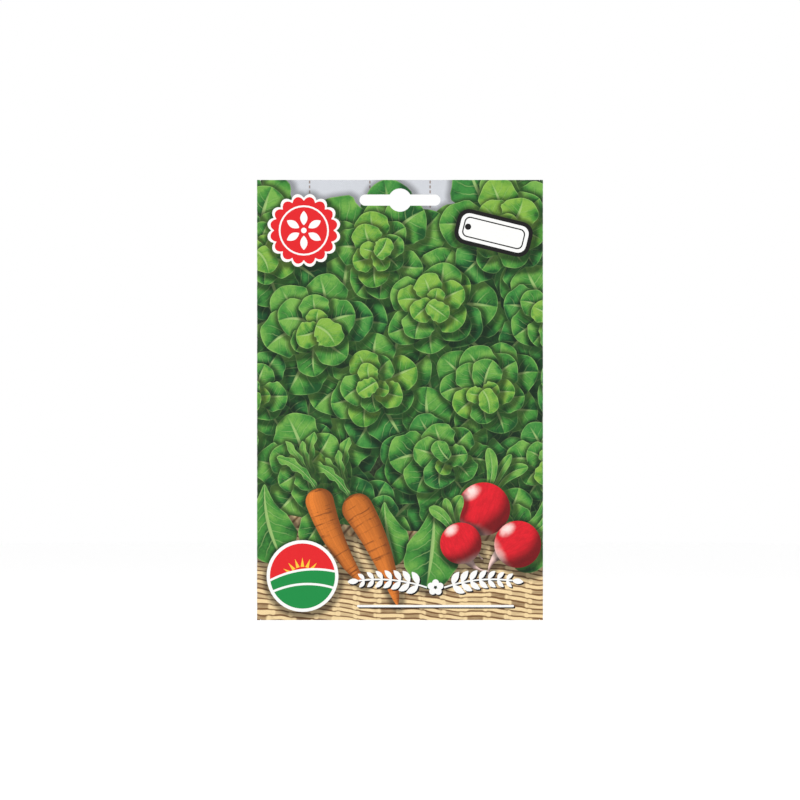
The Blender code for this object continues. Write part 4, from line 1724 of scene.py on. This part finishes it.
def foil_material():
    """Satin foil laminate: bright metal under a clear film, with soft dents and rolled streaks."""
    made, tree, shader = new_material("crumpled_foil")
    shader["Coat Weight"].default_value = 0.3
    place = tree.place()
    stretched = [tree.times(way, scale) for way, scale in zip(tree.apart(place), FOIL_STREAKS)]
    streaks = tree.noise(tree.vector(*stretched), 1.0, 2.0)
    dents = tree.noise(place, 130.0, 3.0)
    crinkle = tree.noise(place, 520.0, 4.0, 0.6)
    tree.feed(shader["Base Color"], tree.mix(streaks, linear(164, 167, 172), linear(172, 175, 179)))
    tree.feed(shader["Metallic"], tree.rise(dents, 0.0, 1.0, 0.88, 1.0))
    tree.feed(shader["Roughness"], tree.rise(crinkle, 0.2, 0.8, 0.20, 0.32))
    relief = tree.add(dents, tree.times(crinkle, 0.35))
    tree.feed(shader["Normal"], tree.bump(0.8, 0.0006, relief))
    return made


class PACKET_OT_sachet(bpy.types.Operator):
    """Fold the foil sachet, seal its borders and give it its thickness"""
    bl_idname = "seed_packet.sachet"
    bl_label = "Foil Sachet"

    def execute(self, context):
        settings = context.scene.packet_sachet
        foil = foil_material()
        sachet = new_object("foil_sachet", grid_mesh("foil_sachet", sachet_rows(settings.crumple / MM)))
        sachet.data.materials.append(foil)
        with_tree(
            sachet, crimp_tree(foil), Seal_Width=settings.seal_width, Rib_Pitch=settings.rib_pitch,
            Rib_Height=settings.rib_height,
        )
        wall = sachet.modifiers.new("foil thickness", "SOLIDIFY")
        wall.thickness, wall.offset = FOIL * MM, 0.0
        applied(sachet)
        outward(sachet.data)
        sachet.data.shade_smooth()
        sachet.data.set_sharp_from_angle(angle=math.radians(40))
        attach(sachet, "root")
        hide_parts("sachet")
        return {"FINISHED"}


def outward(mesh):
    """Turns every face of a closed mesh outwards."""
    bm = bmesh.new()
    bm.from_mesh(mesh)
    bmesh.ops.recalc_face_normals(bm, faces=bm.faces)
    bm.to_mesh(mesh)
    bm.free()


# The heap's core: how far it lies inside the foil, in millimetres, and the rings and sides of its mesh
HEAP_INSET = 1.05
HEAP_RINGS = 26
HEAP_SIDES = 40


def bridge(bm, rings):
    """Faces between each ring of points and the next."""
    for lower, upper in zip(rings, rings[1:]):
        for i, vert in enumerate(lower):
            after = (i + 1) % len(lower)
            bm.faces.new((vert, lower[after], upper[after], upper[i]))


def mesh_from(bm, name):
    mesh = bpy.data.meshes.new(name)
    bm.to_mesh(mesh)
    bm.free()
    return mesh


def heap_mesh():
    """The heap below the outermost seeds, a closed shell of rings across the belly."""
    half_width, foot, head, fullness = SACHET_BELLY
    levels = np.linspace(foot, head, 400)
    open_levels = levels[sachet_room(0 * levels, levels) > HEAP_INSET + 0.05]
    low, high = open_levels[0], open_levels[-1]
    bm = bmesh.new()
    rings = []
    for number in range(1, HEAP_RINGS + 1):
        z = low + (high - low) * (1 - math.cos(math.pi * number / (HEAP_RINGS + 1))) / 2
        reach = half_width * math.sqrt(1 - (HEAP_INSET / float(sachet_room(0.0, z))) ** (1 / fullness))
        ring_verts = []
        for side in range(HEAP_SIDES):
            turn = 2 * math.pi * (side + 0.5) / HEAP_SIDES
            x = reach * math.cos(turn)
            depth = float(sachet_room(x, z)) - HEAP_INSET
            y = MIDDLE_Y + math.copysign(max(depth, 0.02), math.sin(turn))
            ring_verts.append(bm.verts.new((x * MM, y * MM, z * MM)))
        rings.append(ring_verts)
    bridge(bm, rings)
    for end_ring, z in ((rings[0], low), (rings[-1], high)):
        pole = bm.verts.new((0, MIDDLE_Y * MM, z * MM))
        for i in range(HEAP_SIDES):
            bm.faces.new((end_ring[i], end_ring[(i + 1) % HEAP_SIDES], pole))
    bmesh.ops.recalc_face_normals(bm, faces=bm.faces)
    return mesh_from(bm, "seed_heap")


# Rings of one seed along its length: share of the length, and radius as a share of the length
SEED_RINGS = ((0.0, 0.09), (0.12, 0.14), (0.50, 0.21), (0.85, 0.25), (1.0, 0.16))
SEED_RIBS = 4
SEED_GROOVE = 0.86
SEED_FLATNESS = 0.8


def one_seed(length):
    """A ribbed, wedge-shaped seed along Z, centred on the origin."""
    bm = bmesh.new()
    rings = []
    for share, radius in SEED_RINGS:
        verts = []
        for side in range(2 * SEED_RIBS):
            turn = math.pi * side / SEED_RIBS
            reach = radius * length * (1.0 if side % 2 else SEED_GROOVE)
            x, y = reach * math.cos(turn), reach * SEED_FLATNESS * math.sin(turn)
            verts.append(bm.verts.new((x, y, (share - 0.5) * length)))
        rings.append(verts)
    bridge(bm, rings)
    bm.faces.new(rings[0][::-1])
    bm.faces.new(rings[-1])
    bmesh.ops.recalc_face_normals(bm, faces=bm.faces)
    return mesh_from(bm, "one_seed")


def scatter_tree(material):
    """Lays seeds flat on the heap, each turned and sized at random, and keeps the heap under them."""
    tree, given, out = geometry_tree("scattered_seeds", [
        ("Seed Shape", "NodeSocketObject", None), ("Spacing", FLOAT, 0.0013), ("Smallest", FLOAT, 0.82),
        ("Largest", FLOAT, 1.08), ("Scatter Seed", "NodeSocketInt", 7),
    ])
    spread = tree.node(
        "GeometryNodeDistributePointsOnFaces", {"distribute_method": "POISSON"}, Mesh=given["Geometry"],
        Distance_Min=given["Spacing"], Density_Max=2.0e6, Seed=given["Scatter Seed"],
    )
    shape = tree.node("GeometryNodeObjectInfo", Object=given["Seed Shape"])
    size = tree.node("FunctionNodeRandomValue")
    tree.feed(size.inputs[2], given["Smallest"])
    tree.feed(size.inputs[3], given["Largest"])
    copies = tree.node(
        "GeometryNodeInstanceOnPoints", Points=spread.outputs["Points"], Instance=shape.outputs["Geometry"],
        Rotation=spread.outputs["Rotation"], Scale=size.outputs[1],
    )
    turn = tree.node("FunctionNodeRandomValue", {"data_type": "FLOAT_VECTOR"}, Seed=given["Scatter Seed"])
    tree.feed(turn.inputs[0], (0, 0, 0))
    tree.feed(turn.inputs[1], (0, 0, 2 * math.pi))
    spun = tree.node("GeometryNodeRotateInstances", Instances=copies.outputs[0], Rotation=turn.outputs[0])
    lying = tree.node("GeometryNodeRotateInstances", Instances=spun.outputs[0], Rotation=(math.pi / 2, 0, 0))
    joined = tree.node("GeometryNodeJoinGeometry", Geometry=given["Geometry"])
    tree.feed(joined.inputs[0], lying.outputs[0])
    finish_tree(tree, out, joined.outputs[0], material)
    return tree.tree


def seed_material():
    """Straw-brown seed coat, paler in patches, with dark flecks."""
    made, tree, shader = new_material("ribbed_seed")
    place = tree.place()
    patch = tree.noise(place, 420.0, 2.0)
    fleck = tree.noise(place, 2600.0, 3.0, 0.7)
    tan = tree.mix(tree.rise(patch, 0.35, 0.65), linear(128, 98, 62), linear(196, 168, 120))
    coat = tree.mix(tree.rise(fleck, 0.56, 0.70), tan, linear(74, 54, 36))
    tree.feed(shader["Base Color"], coat)
    tree.feed(shader["Roughness"], tree.rise(fleck, 0.3, 0.7, 0.55, 0.75))
    tree.feed(shader["Normal"], tree.bump(0.4, 0.0001, fleck))
    return made


class PACKET_OT_seeds(bpy.types.Operator):
    """Fill the sachet with seeds"""
    bl_idname = "seed_packet.seeds"
    bl_label = "Seeds"

    def execute(self, context):
        settings = context.scene.packet_seeds
        coat = seed_material()
        shape = new_object("one_seed", one_seed(settings.seed_length))
        shape.data.materials.append(coat)
        heap = new_object("seed_heap", heap_mesh())
        heap.data.materials.append(coat)
        with_tree(
            heap, scatter_tree(coat), Seed_Shape=shape, Spacing=settings.spacing,
            Scatter_Seed=settings.scatter_seed,
        )
        bpy.data.objects.remove(shape)
        heap.data.shade_smooth()
        heap.data.set_sharp_from_angle(angle=math.radians(35))
        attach(heap, "root")
        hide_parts("seeds")
        return {"FINISHED"}


FLOOR_RADIUS = 4.0
SENSOR_WIDTH = 36.0

# Name, place and size in metres, and watts of each lamp
LAMPS = (
    ("key_light", (-1.1, -1.5, 1.2), 1.2, 13),
    ("fill_light", (1.3, -1.4, 0.5), 1.4, 2),
    ("back_light", (0.6, 1.6, 1.3), 1.2, 6),
)


def floor_mesh():
    bm = bmesh.new()
    bmesh.ops.create_circle(bm, cap_ends=True, segments=96, radius=FLOOR_RADIUS)
    return mesh_from(bm, "studio_floor")


def add_light(name, place, size, watts, target):
    """A round soft lamp that faces the target."""
    lamp = bpy.data.lights.new(name, "AREA")
    lamp.shape, lamp.size, lamp.energy = "DISK", size, watts
    obj = new_object(name, lamp)
    obj.location = place
    obj.rotation_euler = (Vector(target) - Vector(place)).to_track_quat("-Z", "Y").to_euler()


class PACKET_OT_stage(bpy.types.Operator):
    """Add the pale floor, the soft lights and the camera that faces the packet"""
    bl_idname = "seed_packet.stage"
    bl_label = "Studio"

    def execute(self, context):
        settings = context.scene.packet_stage
        low, high = CAD_BOX
        middle = ((low[0] + high[0]) / 2, low[1], (low[2] + high[2]) / 2)
        floor = new_object("studio_floor", floor_mesh())
        floor.data.transform(Matrix.Translation((0, 0, low[2] - settings.floor_gap)))
        floor.data.materials.append(floor_material())
        world = bpy.data.worlds.new("studio")
        world.use_nodes = True
        sky = world.node_tree.nodes["Background"].inputs
        sky["Color"].default_value = (1, 1, 1, 1)
        sky["Strength"].default_value = 1.0
        context.scene.world = world
        context.scene.view_settings.view_transform = "Standard"
        for lamp in LAMPS:
            add_light(*lamp, middle)
        camera = bpy.data.cameras.new("camera")
        camera.lens, camera.sensor_width = settings.focal_length, SENSOR_WIDTH
        distance = settings.frame_width * camera.lens / camera.sensor_width
        view = new_object("camera", camera)
        view.location = (middle[0], middle[1] - distance, middle[2])
        view.rotation_euler = (math.pi / 2, 0, 0)
        context.scene.camera = view
        return {"FINISHED"}


def floor_material():
    made, _, shader = new_material("studio_floor")
    shader["Base Color"].default_value = (0.98, 0.98, 0.98, 1)
    shader["Roughness"].default_value = 0.9
    return made


class PACKET_PT_panel(bpy.types.Panel):
    bl_label = "Seed Packet"
    bl_space_type = "VIEW_3D"
    bl_region_type = "UI"
    bl_category = "Seed Packet"

    def draw(self, context):
        scene = context.scene
        for title, operator, group in (
            ("Sheet", PACKET_OT_sheet, scene.packet_sheet), ("Sachet", PACKET_OT_sachet, scene.packet_sachet),
            ("Seeds", PACKET_OT_seeds, scene.packet_seeds), ("Studio", PACKET_OT_stage, scene.packet_stage),
        ):
            self.show(title, group).operator(operator.bl_idname)
        self.show("Print colours", scene.packet_colours)

    def show(self, title, group):
        """A box with every setting of the group."""
        box = self.layout.box()
        box.label(text=title)
        for name in group.bl_rna.properties.keys():
            if name not in {"rna_type", "name"}:
                box.prop(group, name)
        return box


SETTINGS = {
    "packet_colours": PrintColours, "packet_sheet": SheetSettings, "packet_sachet": SachetSettings,
    "packet_seeds": SeedSettings, "packet_stage": StageSettings,
}
CLASSES = (
    *SETTINGS.values(), PACKET_OT_sheet, PACKET_OT_sachet, PACKET_OT_seeds, PACKET_OT_stage, PACKET_PT_panel,
)


def register():
    for made in CLASSES:
        bpy.utils.register_class(made)
    for name, group in SETTINGS.items():
        setattr(bpy.types.Scene, name, bpy.props.PointerProperty(type=group))


def unregister():
    for name in SETTINGS:
        delattr(bpy.types.Scene, name)
    for made in reversed(CLASSES):
        bpy.utils.unregister_class(made)


def main():
    register()
    bpy.ops.seed_packet.sheet()
    bpy.ops.seed_packet.sachet()
    bpy.ops.seed_packet.seeds()
    bpy.ops.seed_packet.stage()


if __name__ == "__main__":
    main()
